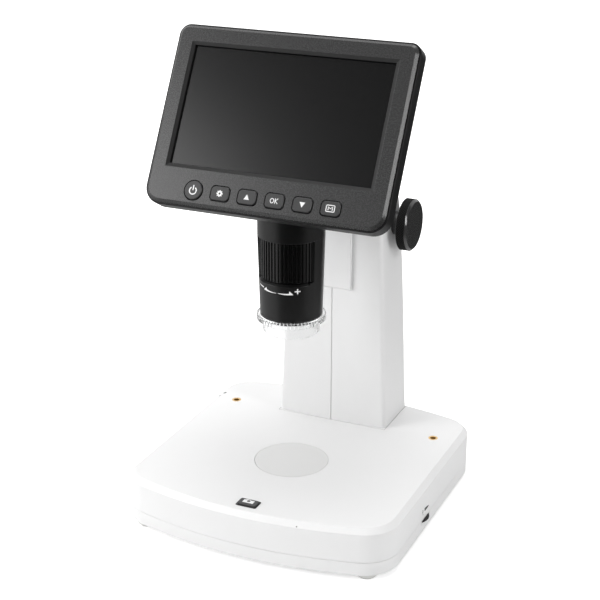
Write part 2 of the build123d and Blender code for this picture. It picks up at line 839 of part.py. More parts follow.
# Black hub between the column and the knob; the shaft runs in it
with BuildPart() as shaft_hub:
    hub_inner_x = hub_seat_x - column_wall
    cross_rod(hub_inner_x, knob_start_x - hub_knob_gap, knob_y, knob_z, hub_spigot_radius)
    cross_rod(hub_seat_x, knob_start_x - hub_knob_gap, knob_y, knob_z, hub_radius)
    cross_rod(hub_inner_x, knob_start_x, knob_y, knob_z, shaft_radius + running_gap, Mode.SUBTRACT)
save(shaft_hub, "shaft_hub")

# ---------------------------------------------------------------------------------------------
# Focus drive
# ---------------------------------------------------------------------------------------------


def pinion_outline():
    """Involute profile of the pinion, with one tooth pointing at the rack."""
    base_radius = pinion_radius * cos(radians(pressure_angle))
    tip_radius = pinion_radius + tooth_addendum
    root_radius = pinion_radius - tooth_dedendum
    roll_at_pitch = tan(radians(pressure_angle)) - radians(pressure_angle)
    thickness = pi * gear_module / 2 - 2 * tooth_backlash
    half_angle = thickness / (2 * pinion_radius) + roll_at_pitch

    def flank_point(radius, middle, side):
        pressure = acos(base_radius / radius)
        angle = middle + side * (half_angle - (tan(pressure) - pressure))
        return (radius * cos(angle), radius * sin(angle))

    flank_radii = [base_radius + (tip_radius - base_radius) * step / 3 for step in range(4)]
    pitch_angle = 2 * pi / pinion_teeth
    for tooth in range(pinion_teeth):
        middle = pi + tooth * pitch_angle
        rising = [flank_point(radius, middle, -1) for radius in flank_radii]
        falling = [flank_point(radius, middle, 1) for radius in reversed(flank_radii)]
        root_angle = middle - half_angle
        next_root = middle + pitch_angle - half_angle
        this_root = middle + half_angle
        Line((root_radius * cos(root_angle), root_radius * sin(root_angle)), rising[0])
        Spline(*rising)
        ThreePointArc(rising[-1], (tip_radius * cos(middle), tip_radius * sin(middle)), falling[0])
        Spline(*falling)
        foot = (root_radius * cos(this_root), root_radius * sin(this_root))
        Line(falling[-1], foot)
        between = (this_root + next_root) / 2
        ThreePointArc(foot, (root_radius * cos(between), root_radius * sin(between)),
                      (root_radius * cos(next_root), root_radius * sin(next_root)))


pinion_plane = Plane(origin=(-pinion_width / 2, knob_y, knob_z), x_dir=(0, 1, 0), z_dir=(1, 0, 0))
with BuildPart() as pinion_shaft:
    cross_rod(-shaft_left_x, knob_start_x + knob_width - knob_cap, knob_y, knob_z, shaft_radius)
    with BuildSketch(pinion_plane):
        with BuildLine():
            pinion_outline()
        make_face()
    extrude(amount=pinion_width)
save(pinion_shaft, "pinion_shaft")

with BuildPart() as focus_knob:
    cross_rod(knob_start_x, knob_start_x + knob_width, knob_y, knob_z, knob_radius)
    chamfer(focus_knob.edges().filter_by(GeomType.CIRCLE).sort_by(Axis.X)[-1], knob_bevel)
    cross_rod(knob_start_x, knob_start_x + knob_width - knob_cap, knob_y, knob_z, shaft_radius,
              Mode.SUBTRACT)
save(focus_knob, "focus_knob")

with BuildPart() as mast:
    block((-mast_half_width, mast_front_y, mast_bottom), (mast_half_width, mast_back_y, mast_top))
    chamfer(mast.edges().filter_by(Axis.Z), cover_bevel)
save(mast, "mast")

# Rack with straight-sided teeth: a tooth space faces the pinion's tooth at rest
tooth_pitch = pi * gear_module
flank_lean = tan(radians(pressure_angle))
half_tooth = tooth_pitch / 4 - tooth_backlash
with BuildPart() as rack:
    with BuildSketch(Plane.YZ.offset(-rack_half_width)):
        with BuildLine():
            first = int((rack_bottom - knob_z) / tooth_pitch) - 1
            last = int((rack_top - knob_z) / tooth_pitch) - 1
            teeth = []
            for index in range(first + 2, last):
                middle = knob_z + (index + 0.5) * tooth_pitch
                foot = half_tooth + tooth_dedendum * flank_lean
                tip = half_tooth - tooth_addendum * flank_lean
                teeth += [(rack_root_y, middle - foot), (rack_tip_y, middle - tip),
                          (rack_tip_y, middle + tip), (rack_root_y, middle + foot)]
            Polyline((mast_back_y, rack_bottom), (rack_root_y, rack_bottom), *teeth,
                     (rack_root_y, rack_top), (mast_back_y, rack_top), close=True)
        make_face()
    extrude(amount=2 * rack_half_width)
save(rack, "rack")

with BuildPart() as slide_block:
    block((-block_half_width, cover_back_y, block_bottom), (block_half_width, mast_front_y, mast_top))
save(slide_block, "slide_block")

with BuildPart() as slide_cover:
    block((-cover_half_width, cover_front_y, cover_bottom), (cover_half_width, cover_back_y, mast_top))
    chamfer(slide_cover.faces().sort_by(Axis.Y)[0].edges(), cover_bevel)
save(slide_cover, "slide_cover")

with BuildPart() as mast_cap:
    cap_top = mast_top + mast_cap_height
    block((-mast_half_width, mast_front_y, mast_top), (mast_half_width, mast_back_y, cap_top))
    block((-rack_half_width, mast_back_y, mast_top), (rack_half_width, rack_tip_y, cap_top))
    block((-block_half_width, cover_front_y, mast_top), (block_half_width, mast_front_y, cap_top))
    block((-cover_half_width, cover_front_y, mast_top), (cover_half_width, cover_back_y, cap_top))
    chamfer(mast_cap.faces().sort_by(Axis.Z)[-1].edges(), cover_bevel)
save(mast_cap, "mast_cap")

# ---------------------------------------------------------------------------------------------
# Head: arm, barrel, optics and clear tip
# ---------------------------------------------------------------------------------------------

with BuildPart() as head_arm:
    with BuildSketch(Plane.XZ.offset(-cover_front_y)):
        with Locations((0, (arm_bottom + arm_top) / 2)):
            RectangleRounded(2 * arm_half_width, arm_top - arm_bottom, arm_round)
    extrude(amount=cover_front_y - axis_y)
    block((-arm_duct_half, axis_y, arm_bottom + arm_duct_height),
          (arm_duct_half, cover_front_y, arm_bottom + 2 * arm_duct_height), Mode.SUBTRACT)
    discs(arm_bottom, barrel_radius, [(0, axis_y)], arm_top - arm_bottom, Mode.SUBTRACT)
save(head_arm, "head_arm")


def sleeve_radius(z):
    """Outer radius of the tapered sleeve at height z."""
    share = (z - sleeve_bottom) / (ring_level - sleeve_bottom)
    return sleeve_bottom_radius + (barrel_radius - sleeve_bottom_radius) * share


lamp_ring_top = sleeve_bottom + lamp_height + lamp_ring_gap + lamp_ring_thickness
window_reach = barrel_radius + 3
cavity_radius = sleeve_radius(window_bottom) - sleeve_ring_wall
ledge_plane = Plane(origin=(0, axis_y, 0),
                    x_dir=(-sin(radians(window_inner_angle)), -cos(radians(window_inner_angle)), 0),
                    z_dir=(-cos(radians(window_inner_angle)), sin(radians(window_inner_angle)), 0))


def round_point(radius, angle, side):
    """Plan point at radius and at angle from straight ahead, to one side."""
    turn = radians(angle)
    return (side * radius * sin(turn), axis_y - radius * cos(turn))


with BuildPart() as barrel_sleeve:
    turned([(nose_bore, sleeve_bottom), (sleeve_bottom_radius, sleeve_bottom),
            (barrel_radius, ring_level), (cavity_radius, ring_level),
            (cavity_radius, window_bottom), (nose_guide_bore, window_bottom),
            (nose_guide_bore, lamp_ring_top), (nose_bore, lamp_ring_top)])
    with BuildSketch(Plane.XY.offset(window_bottom)):
        with BuildLine():
            right = [round_point(cavity_radius - 1, window_inner_angle, 1),
                     round_point(sleeve_radius(window_bottom) - 0.1, window_outer_angle, 1),
                     round_point(window_reach, window_outer_angle, 1)]
            left = [round_point(window_reach, window_outer_angle, -1),
                    round_point(sleeve_radius(window_bottom) - 0.1, window_outer_angle, -1),
                    round_point(cavity_radius - 1, window_inner_angle, -1)]
            Polyline(*right)
            ThreePointArc(right[-1], round_point(window_reach, 0, 1), left[0])
            Polyline(*left)
            ThreePointArc(left[-1], round_point(cavity_radius - 1, 0, 1), right[0])
        make_face()
    extrude(amount=ring_level - window_bottom, mode=Mode.SUBTRACT)
    with BuildSketch(ledge_plane):
        with BuildLine():
            edge = sleeve_radius(window_bottom)
            Polyline((edge - window_ledge_bevel, window_bottom), (window_reach, window_bottom),
                     (window_reach, window_bottom - window_ledge_bevel - window_reach + edge),
                     close=True)
        make_face()
    revolve(axis=optic_axis, revolution_arc=2 * window_inner_angle, mode=Mode.SUBTRACT)
save(barrel_sleeve, "barrel_sleeve")

with BuildPart() as barrel_head:
    turned([(camera_bore, ring_level), (barrel_radius, ring_level), (barrel_radius, arm_top),
            (0, arm_top), (0, cable_bore_top), (cable_bore, cable_bore_top),
            (cable_bore, camera_level + board_thickness),
            (camera_bore, camera_level + board_thickness)])
    with BuildSketch(monitor.offset(-head_clearance)):
        Rectangle(2 * shell_half_width, 4 * shell_half_width)
    extrude(amount=shell_half_width, mode=Mode.SUBTRACT)
    discs(arm_top, bracket_screw_radius, bracket_screw_points, -bracket_screw_depth, Mode.SUBTRACT)
    block((-arm_duct_half, axis_y, camera_level + 2 * board_thickness),
          (arm_duct_half, axis_y + barrel_radius + 1, cable_bore_top), Mode.SUBTRACT)
save(barrel_head, "barrel_head")

with BuildPart() as camera_board:
    with BuildSketch(Plane.XY.offset(camera_level)):
        with Locations((0, axis_y)):
            Rectangle(camera_board_side, camera_board_side)
    extrude(amount=board_thickness)
    with BuildSketch(Plane.XY.offset(camera_level)):
        with Locations((0, axis_y)):
            Rectangle(sensor_side, sensor_side)
    extrude(amount=-sensor_height)
save(camera_board, "camera_board")

# Ribbed focus ring in the window of the sleeve
ring_bottom = window_bottom + ring_end_gap
ring_height = ring_level - ring_end_gap - ring_bottom
ring_tip_radius = cavity_radius - fit_gap
with BuildPart() as focus_ring:
    with BuildSketch(Plane.XY.offset(ring_bottom)):
        with BuildLine():
            outline = []
            for rib in range(rib_count):
                for share, radius in ((0.0, ring_tip_radius), (0.34, ring_tip_radius),
                                      (0.54, ring_tip_radius - rib_depth),
                                      (0.8, ring_tip_radius - rib_depth)):
                    turn = 2 * pi * (rib + share) / rib_count
                    outline.append((radius * cos(turn), axis_y + radius * sin(turn)))
            Polyline(*outline, close=True)
        make_face()
    extrude(amount=ring_height)
    discs(ring_bottom, ring_bore, [(0, axis_y)], ring_height, Mode.SUBTRACT)
save(focus_ring, "focus_ring")

with BuildPart() as lens_carrier:
    carrier_top = carrier_bottom + carrier_length
    turned([(lens_radius - carrier_rim, carrier_bottom), (carrier_radius, carrier_bottom),
            (carrier_radius, carrier_top), (carrier_bore, carrier_top),
            (carrier_bore, lens_bottom), (lens_radius - carrier_rim, lens_bottom)])
save(lens_carrier, "lens_carrier")

with BuildPart() as objective_lens:
    with BuildSketch(optic_plane):
        with BuildLine():
            bulge = lens_bulge_radius - sqrt(lens_bulge_radius ** 2 - lens_radius ** 2)
            top = lens_bottom + lens_edge
            Polyline((0, lens_bottom), (lens_radius, lens_bottom), (lens_radius, top))
            ThreePointArc((lens_radius, top),
                          (lens_radius / 2, top + bulge - lens_bulge_radius
                           + sqrt(lens_bulge_radius ** 2 - lens_radius ** 2 / 4)), (0, top + bulge))
            Line((0, top + bulge), (0, lens_bottom))
        make_face()
    revolve(axis=optic_axis)
save(objective_lens, "objective_lens")

with BuildPart() as lamp_ring:
    turned([(lamp_ring_bore, lamp_ring_top - lamp_ring_thickness),
            (nose_bore - running_gap, lamp_ring_top - lamp_ring_thickness),
            (nose_bore - running_gap, lamp_ring_top), (lamp_ring_bore, lamp_ring_top)])
    with BuildSketch(Plane.XY.offset(lamp_ring_top - lamp_ring_thickness)):
        with Locations((0, axis_y)):
            with PolarLocations(lamp_ring_circle, lamp_ring_count):
                Rectangle(lamp_side, lamp_side)
    extrude(amount=-lamp_height)
save(lamp_ring, "lamp_ring")

# Clear tip: a ribbed collar round the end of the sleeve, and a narrower cup below it
with BuildPart() as clear_tip:
    pocket_radius = sleeve_radius(collar_top) + fit_gap
    turned([(tip_radius - tip_wall, tip_bottom), (tip_radius - tip_bevel, tip_bottom),
            (tip_radius, tip_bottom + tip_bevel), (tip_radius, tip_web_bottom), (collar_radius, tip_web_bottom),
            (collar_radius, collar_top), (pocket_radius, collar_top),
            (pocket_radius, sleeve_bottom), (tip_radius - tip_wall, sleeve_bottom)])
    with BuildSketch(Plane.XY.offset(tip_web_bottom)):
        with Locations((0, axis_y)):
            with PolarLocations(collar_radius, collar_ribs):
                Rectangle(2 * collar_rib_depth, 2 * collar_rib_depth, rotation=45)
    extrude(amount=collar_top - tip_web_bottom, mode=Mode.SUBTRACT)
save(clear_tip, "clear_tip")

# ---------------------------------------------------------------------------------------------
# Tilt hinge
# ---------------------------------------------------------------------------------------------

hinge_y = hinge_point.Y
hinge_z = hinge_point.Z
ear_inner_x = knuckle_half_width + ear_gap
ear_outer_x = ear_inner_x + ear_thickness
bracket_top = arm_top + bracket_plate

with BuildPart() as tilt_bracket:
    block((-ear_outer_x, axis_y - bracket_front, arm_top),
          (ear_outer_x, axis_y + bracket_back, bracket_top))
    for side in (-1, 1):
        with BuildSketch(Plane.YZ.offset(side * ear_inner_x)):
            with BuildLine():
                left_foot = (axis_y - bracket_front, bracket_top)
                right_foot = (axis_y + bracket_back, bracket_top)
                Line(left_foot, (hinge_y - ear_radius, hinge_z))
                ThreePointArc((hinge_y - ear_radius, hinge_z), (hinge_y, hinge_z + ear_radius),
                              (hinge_y + ear_radius, hinge_z))
                Line((hinge_y + ear_radius, hinge_z), right_foot)
                Line(right_foot, left_foot)
            make_face()
        extrude(amount=side * ear_thickness)
    cross_rod(-ear_outer_x, ear_outer_x, hinge_y, hinge_z, pin_radius, Mode.SUBTRACT)
    discs(arm_top, bracket_screw_radius, bracket_screw_points, bracket_plate, Mode.SUBTRACT)
save(tilt_bracket, "tilt_bracket")

with BuildPart() as tilt_pin:
    pin_end = ear_outer_x + pin_overhang
    cross_rod(-pin_end, pin_end, hinge_y, hinge_z, pin_radius)
    chamfer(tilt_pin.edges().filter_by(GeomType.CIRCLE), pin_overhang / 2)
save(tilt_pin, "tilt_pin")

with BuildPart() as bracket_screws:
    discs(bracket_top, bracket_head_radius, bracket_screw_points, bracket_head_height)
    discs(bracket_top, bracket_screw_radius, bracket_screw_points, -bracket_plate - bracket_screw_depth)
save(bracket_screws, "bracket_screws")

# ---------------------------------------------------------------------------------------------
# Monitor, drawn in the plane of its face: u to the right, v up the face, n out of the face
# ---------------------------------------------------------------------------------------------


def monitor_outline(depth, inset):
    """Outline of the monitor at a depth behind its face: wider corners at the bottom."""
    with BuildSketch(monitor.offset(-depth)) as outline:
        with Locations((0, (shell_top - shell_bottom) / 2)):
            Rectangle(2 * (shell_half_width - inset), shell_top + shell_bottom - 2 * inset)
        fillet(outline.vertices().group_by(Axis.Y)[0], max(shell_bottom_corner - inset, crown_corner))
        fillet(outline.vertices().group_by(Axis.Y)[-1], max(shell_top_corner - inset, crown_corner))
    return outline.sketch


def face_box(u, v, depth, width, height, thickness, mode=Mode.ADD, corner=0.0):
    """Box centred at (u, v) on the monitor, from depth behind the face towards the back."""
    with BuildSketch(monitor.offset(-depth)) as plan:
        with Locations((u, v)):
            if corner:
                RectangleRounded(width, height, corner)
            else:
                Rectangle(width, height)
    extrude(plan.sketch, amount=-thickness, mode=mode)


def face_discs(depth, radius, points, thickness, mode=Mode.ADD):
    """Round posts or holes on the monitor, from depth behind the face towards the back."""
    with BuildSketch(monitor.offset(-depth)) as rounds:
        with Locations(*points):
            Circle(radius)
    extrude(rounds.sketch, amount=-thickness, mode=mode)


def crown(depth, height, inset):
    """Back of the monitor that slopes in from its outline."""
    loft([monitor_outline(depth, inset).face(),
          monitor_outline(depth + height, inset + shell_crown_inset).face()], ruled=True)


button_names = ("power", "settings", "up", "ok", "down", "mode")
button_us = [button_row_u + (index - 2.5) * button_pitch for index in range(6)]


def button_plan(index, margin):
    """Plan of one button, or of its hole with a margin: the first is round."""
    with Locations((button_us[index], button_row_v)):
        if index == 0:
            Circle(power_radius + margin)
        else:
            RectangleRounded(button_width + 2 * margin, button_height + 2 * margin,
                             button_corner + margin)


with BuildPart() as monitor_bezel:
    extrude(monitor_outline(0, bezel_step), amount=-bezel_rim)
    chamfer(monitor_bezel.faces().sort_by(face_normal)[-1].edges(), bezel_bevel)
    extrude(monitor_outline(bezel_rim, shell_wall + fit_gap), amount=bezel_rim - bezel_thickness)
    with BuildSketch(monitor):
        with Locations((0, window_v)):
            Rectangle(2 * window_half_width, 2 * window_half_height)
    extrude(amount=-window_bevel_depth, taper=degrees(atan2(window_bevel, window_bevel_depth)),
            mode=Mode.SUBTRACT)
    face_box(0, window_v, window_bevel_depth / 2, 2 * (window_half_width - window_bevel),
             2 * (window_half_height - window_bevel), bezel_thickness, Mode.SUBTRACT)
    face_discs(bezel_thickness, monitor_post_radius, monitor_posts, monitor_post_length)
    face_discs(bezel_thickness + monitor_post_length, screw_core_radius, monitor_posts,
               -monitor_post_length + bezel_thickness, Mode.SUBTRACT)
    for index in range(6):
        with BuildSketch(monitor):
            button_plan(index, button_gap)
        extrude(amount=-bezel_thickness, mode=Mode.SUBTRACT)
        with BuildSketch(monitor.offset(-button_seat)):
            button_plan(index, button_gap + button_flange)
        extrude(amount=-bezel_thickness, mode=Mode.SUBTRACT)
save(monitor_bezel, "monitor_bezel")

crown_start = bezel_rim + shell_straight
with BuildPart() as shell_cavity:
    extrude(monitor_outline(bezel_rim, shell_wall), amount=-shell_straight)
    crown(crown_start, shell_crown - shell_wall, shell_wall)

with BuildPart() as monitor_shell:
    extrude(monitor_outline(bezel_rim, 0), amount=-shell_straight)
    chamfer(monitor_shell.faces().sort_by(face_normal)[-1].edges(), shell_edge_bevel)
    crown(crown_start, shell_crown, 0)
    add(shell_cavity.part, mode=Mode.SUBTRACT)
    face_discs(monitor_boss_start, tray_boss_radius, monitor_posts,
               shell_back - shell_wall - monitor_boss_start)
    face_discs(shell_back, screw_hole_radius, monitor_posts, monitor_boss_start - shell_back,
               Mode.SUBTRACT)
    face_discs(shell_back, screw_head_radius + fit_gap, monitor_posts, -screw_head_height - 0.7,
               Mode.SUBTRACT)
    with BuildSketch(monitor.offset(-shell_back)):
        with Locations((0, vent_v)):
            with GridLocations(vent_pitch, 0, vent_count, 1):
                SlotOverall(vent_length, vent_width, rotation=90)
    extrude(amount=shell_wall, mode=Mode.SUBTRACT)
save(monitor_shell, "monitor_shell")

with BuildPart() as monitor_screws:
    face_discs(monitor_head_depth, screw_head_radius, monitor_posts, screw_head_height)
    face_discs(monitor_head_depth, screw_core_radius, monitor_posts, -screw_length)
save(monitor_screws, "monitor_screws")

with BuildPart() as screen_glass:
    face_box(0, window_v, bezel_thickness, 2 * (window_half_width + glass_margin),
             2 * (window_half_height + glass_margin), glass_thickness)
save(screen_glass, "screen_glass")

with BuildPart() as lcd_panel:
    face_box(0, window_v, glass_back, 2 * panel_half_width, 2 * panel_half_height, panel_thickness)
save(lcd_panel, "lcd_panel")

with BuildPart() as logic_board:
    face_box(0, 0, logic_depth, 2 * logic_half_width, 2 * logic_half_height, board_thickness)
    face_box(-logic_half_width / 2, 0, logic_depth + board_thickness, chip_side, chip_side, chip_height)
    face_box(logic_half_width / 2, 8, logic_depth + board_thickness, chip_side, chip_side / 2,
             chip_height)
    for u in (4 - logic_half_width, logic_half_width - 4):
        for v in (4 - logic_half_height, logic_half_height - 4):
            face_box(u, v, glass_back + panel_thickness, dome_side, dome_side,
                     logic_depth - glass_back - panel_thickness)
save(logic_board, "logic_board")

with BuildPart() as battery:
    face_box(0, -4, battery_depth, 2 * battery_half_width, 2 * battery_half_height,
             battery_thickness, Mode.ADD, 2.0)
save(battery, "battery")

with BuildPart() as keypad_board:
    face_box(button_row_u, button_row_v, keypad_depth, 5 * button_pitch + 14, keypad_board_height,
             keypad_thickness)
    for u in button_us:
        face_box(u, button_row_v, keypad_depth - dome_height, dome_side, dome_side, dome_height)
    for u in (button_us[0] + button_pitch / 2, button_us[5] - button_pitch / 2):
        face_box(u, button_row_v, bezel_thickness, 2, dome_side, keypad_depth - bezel_thickness)
save(keypad_board, "keypad_board")

for index, name in enumerate(button_names):
    with BuildPart() as key:
        with BuildSketch(monitor.offset(button_proud)):
            button_plan(index, 0)
        extrude(amount=-button_proud - button_stem)
        chamfer(key.faces().sort_by(face_normal)[-1].edges(), button_bevel)
        with BuildSketch(monitor.offset(-button_seat - button_flange_gap)):
            button_plan(index, button_gap + button_flange - fit_gap)
        extrude(amount=button_seat + button_flange_gap - button_stem)
    save(key, "button_" + name)

with BuildPart() as tilt_knuckle:
    face_box(0, hinge_v, shell_back, 2 * knuckle_half_width, 2 * knuckle_pad_half_height, knuckle_pad)
    with BuildSketch(monitor.offset(-shell_back - knuckle_pad)):
        with Locations((0, hinge_v)):
            Rectangle(2 * knuckle_half_width, 2 * knuckle_radius)
    extrude(amount=shell_back + knuckle_pad - hinge_behind_face)
    cross_rod(-knuckle_half_width, knuckle_half_width, hinge_y, hinge_z, knuckle_radius)
    cross_rod(-knuckle_half_width, knuckle_half_width, hinge_y, hinge_z, pin_radius + running_gap,
              Mode.SUBTRACT)
save(tilt_knuckle, "tilt_knuckle")
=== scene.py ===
import math

import bmesh
import bpy
from mathutils import Euler, Matrix, Vector
from mathutils.bvhtree import BVHTree


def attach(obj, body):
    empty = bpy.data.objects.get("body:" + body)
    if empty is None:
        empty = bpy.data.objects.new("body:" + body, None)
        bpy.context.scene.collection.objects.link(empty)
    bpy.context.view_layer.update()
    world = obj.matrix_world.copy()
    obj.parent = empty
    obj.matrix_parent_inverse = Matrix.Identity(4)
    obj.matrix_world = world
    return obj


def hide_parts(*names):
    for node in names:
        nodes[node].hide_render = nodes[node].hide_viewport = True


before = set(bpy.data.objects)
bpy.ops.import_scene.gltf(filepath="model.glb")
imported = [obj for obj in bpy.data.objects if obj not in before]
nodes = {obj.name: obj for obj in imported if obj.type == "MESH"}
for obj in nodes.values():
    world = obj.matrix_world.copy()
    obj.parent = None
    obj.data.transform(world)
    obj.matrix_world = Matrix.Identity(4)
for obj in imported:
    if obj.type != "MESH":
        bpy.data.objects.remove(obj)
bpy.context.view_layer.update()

# ---------------------------------------------------------------------------
# Camera: a long lens a little above the monitor, in front and to the right.
# The microscope stands upright in the middle of the picture.
# ---------------------------------------------------------------------------


def in_scene(name, data):
    """A new object of the given data, linked to the scene."""
    made = bpy.data.objects.new(name, data)
    bpy.context.scene.collection.objects.link(made)
    return made


lens_data = bpy.data.cameras.new("studio_camera")
lens_data.sensor_width = 36.0
lens_data.lens = 86.52
lens_data.clip_start = 0.02
lens_data.clip_end = 20.0
studio_camera = in_scene("studio_camera", lens_data)
camera_place = Matrix.Translation((0.29847, -0.67068, 0.40371))
camera_turn = Euler((math.radians(68.862), 0.0, math.radians(24.144))).to_matrix()
camera_roll = Matrix.Rotation(math.radians(0.09), 3, "Z")
studio_camera.matrix_world = camera_place @ (camera_turn @ camera_roll).to_4x4()
bpy.context.scene.camera = studio_camera
bpy.context.scene.view_settings.view_transform = "Standard"

# ---------------------------------------------------------------------------
# Studio: a white floor that keeps the soft shadow, a white backdrop, soft lamps
# at the left front and above, and a tall narrow strip at the right. Gloss meets
# a dim room at the front and sides, and dim patches of floor away from the base.
# ---------------------------------------------------------------------------


def feed(tree, socket, value):
    """Gives a socket its number, or a link from another socket."""
    if isinstance(value, bpy.types.NodeSocket):
        tree.links.new(value, socket)
    else:
        socket.default_value = value


def arithmetic(tree, operation, *values):
    """One arithmetic node; its inputs are sockets or numbers."""
    node = tree.nodes.new("ShaderNodeMath")
    node.operation = operation
    for socket, value in zip(node.inputs, values):
        feed(tree, socket, value)
    return node.outputs[0]


def ranged(tree, value, start=(0.0, 1.0), end=(0.0, 1.0), kind="LINEAR"):
    """One node that carries a value from the start span to the end span, whose limits may be sockets."""
    node = tree.nodes.new("ShaderNodeMapRange")
    node.interpolation_type = kind
    limits = zip(("Value", "From Min", "From Max", "To Min", "To Max"), (value, *start, *end))
    for socket, limit in limits:
        feed(tree, node.inputs[socket], limit)
    return node.outputs["Result"]


floor_half = 3.0
floor_white = 0.86
floor_mesh = bpy.data.meshes.new("studio_floor")
floor_corners = [(x * floor_half, y * floor_half, 0.0) for x, y in ((-1, -1), (1, -1), (1, 1), (-1, 1))]
floor_mesh.from_pydata(floor_corners, [], [(0, 1, 2, 3)])
studio_floor = in_scene("studio_floor", floor_mesh)
floor_paint = bpy.data.materials.new("floor_paint")
floor_paint.use_nodes = True
floor_tree = floor_paint.node_tree
floor_bsdf = floor_tree.nodes["Principled BSDF"]
floor_bsdf.inputs["Roughness"].default_value = 0.9
floor_bsdf.inputs["Specular IOR Level"].default_value = 0.1
floor_bsdf.inputs["Emission Color"].default_value = (1.0, 1.0, 1.0, 1.0)
floor_place = floor_tree.nodes.new("ShaderNodeTexCoord")
floor_reach = floor_tree.nodes.new("ShaderNodeVectorMath")
floor_reach.operation = "LENGTH"
floor_side = floor_tree.nodes.new("ShaderNodeSeparateXYZ")
for reader in (floor_reach, floor_side):
    floor_tree.links.new(floor_place.outputs["Object"], reader.inputs[0])
floor_ahead = arithmetic(floor_tree, "MULTIPLY", floor_side.outputs["Y"], -1.0)
floor_turn = arithmetic(floor_tree, "ARCTAN2", floor_side.outputs["X"], floor_ahead)
floor_patches = floor_tree.nodes.new("ShaderNodeValToRGB")
patch_stops = floor_patches.color_ramp.elements
# Degrees to the right of the front, and how bright the floor is there in gloss
for patch, (degrees, bright) in enumerate(((-180, 0.05), (-110, 0.55), (-30, 0.55), (-12, 0.02), (60, 0.02),
                                           (80, 0.25), (115, 0.25), (150, 0.05))):
    stop = patch_stops.new((degrees + 180) / 360) if patch else patch_stops[0]
    stop.color = (bright, bright, bright, 1.0)
patch_stops.remove(patch_stops[-1])
feed(floor_tree, floor_patches.inputs["Fac"], ranged(floor_tree, floor_turn, (-math.pi, math.pi)))
floor_in_gloss = ranged(floor_tree, floor_reach.outputs["Value"], (0.14, 0.32),
                        (floor_white, floor_patches.outputs["Color"]), "SMOOTHSTEP")
floor_path = floor_tree.nodes.new("ShaderNodeLightPath")
floor_albedo = ranged(floor_tree, floor_path.outputs["Is Glossy Ray"], (0.0, 1.0),
                      (floor_white, floor_in_gloss))
floor_colour = floor_tree.nodes.new("ShaderNodeCombineXYZ")
for channel in "XYZ":
    floor_tree.links.new(floor_albedo, floor_colour.inputs[channel])
floor_tree.links.new(floor_colour.outputs["Vector"], floor_bsdf.inputs["Base Color"])
floor_seen = arithmetic(floor_tree, "MAXIMUM", floor_path.outputs["Is Camera Ray"],
                        floor_path.outputs["Is Transmission Ray"])
floor_fade = ranged(floor_tree, floor_reach.outputs["Value"], (0.12, 0.9), (0.55, 1.0), "SMOOTHSTEP")
floor_lift = arithmetic(floor_tree, "MULTIPLY", floor_seen, floor_fade)
floor_tree.links.new(floor_lift, floor_bsdf.inputs["Emission Strength"])
floor_mesh.materials.append(floor_paint)

surround = bpy.data.worlds.new("studio_surround")
bpy.context.scene.world = surround
surround.use_nodes = True
air = surround.node_tree
air.nodes.clear()
air_out = air.nodes.new("ShaderNodeOutputWorld")
air_light = air.nodes.new("ShaderNodeBackground")
air_light.inputs["Color"].default_value = (1.0, 1.0, 1.0, 1.0)
air_place = air.nodes.new("ShaderNodeTexCoord")
air_side = air.nodes.new("ShaderNodeSeparateXYZ")
air.links.new(air_place.outputs["Generated"], air_side.inputs[0])
air_path = air.nodes.new("ShaderNodeLightPath")
air_room = ranged(air, air_side.outputs["Z"], (0.1, 0.4), (0.12, 0.22), "SMOOTHSTEP")
air_backdrop = ranged(air, air_side.outputs["Y"], (0.3, 0.6), (0.0, 1.0), "SMOOTHSTEP")
air_in_gloss = arithmetic(air, "MAXIMUM", air_backdrop, air_room)
air_on_object = ranged(air, air_path.outputs["Is Glossy Ray"], (0.0, 1.0), (0.27, air_in_gloss))
air_seen = arithmetic(air, "MAXIMUM", air_path.outputs["Is Camera Ray"],
                      air_path.outputs["Is Transmission Ray"])
air_strength = ranged(air, air_seen, (0.0, 1.0), (air_on_object, 1.0))
air.links.new(air_strength, air_light.inputs["Strength"])
air.links.new(air_light.outputs[0], air_out.inputs[0])


def soft_lamp(name, place, target, width, height, power):
    """A rectangular lamp that faces its target."""
    lamp_data = bpy.data.lights.new(name, "AREA")
    lamp_data.shape = "RECTANGLE"
    lamp_data.size = width
    lamp_data.size_y = height
    lamp_data.energy = power
    lamp = in_scene(name, lamp_data)
    lamp.location = place
    lamp.rotation_euler = (Vector(target) - Vector(place)).to_track_quat("-Z", "Y").to_euler()


soft_lamp("window_lamp", (-1.25, -1.05, 0.80), (0.0, 0.0, 0.12), 1.0, 1.0, 21.0)
soft_lamp("ceiling_lamp", (-0.1, 0.2, 1.7), (0.0, 0.0, 0.1), 1.5, 1.5, 22.0)
soft_lamp("right_strip", (1.15, -0.27, 0.62), (0.05, 0.0, 0.2), 0.1, 0.8, 4.8)
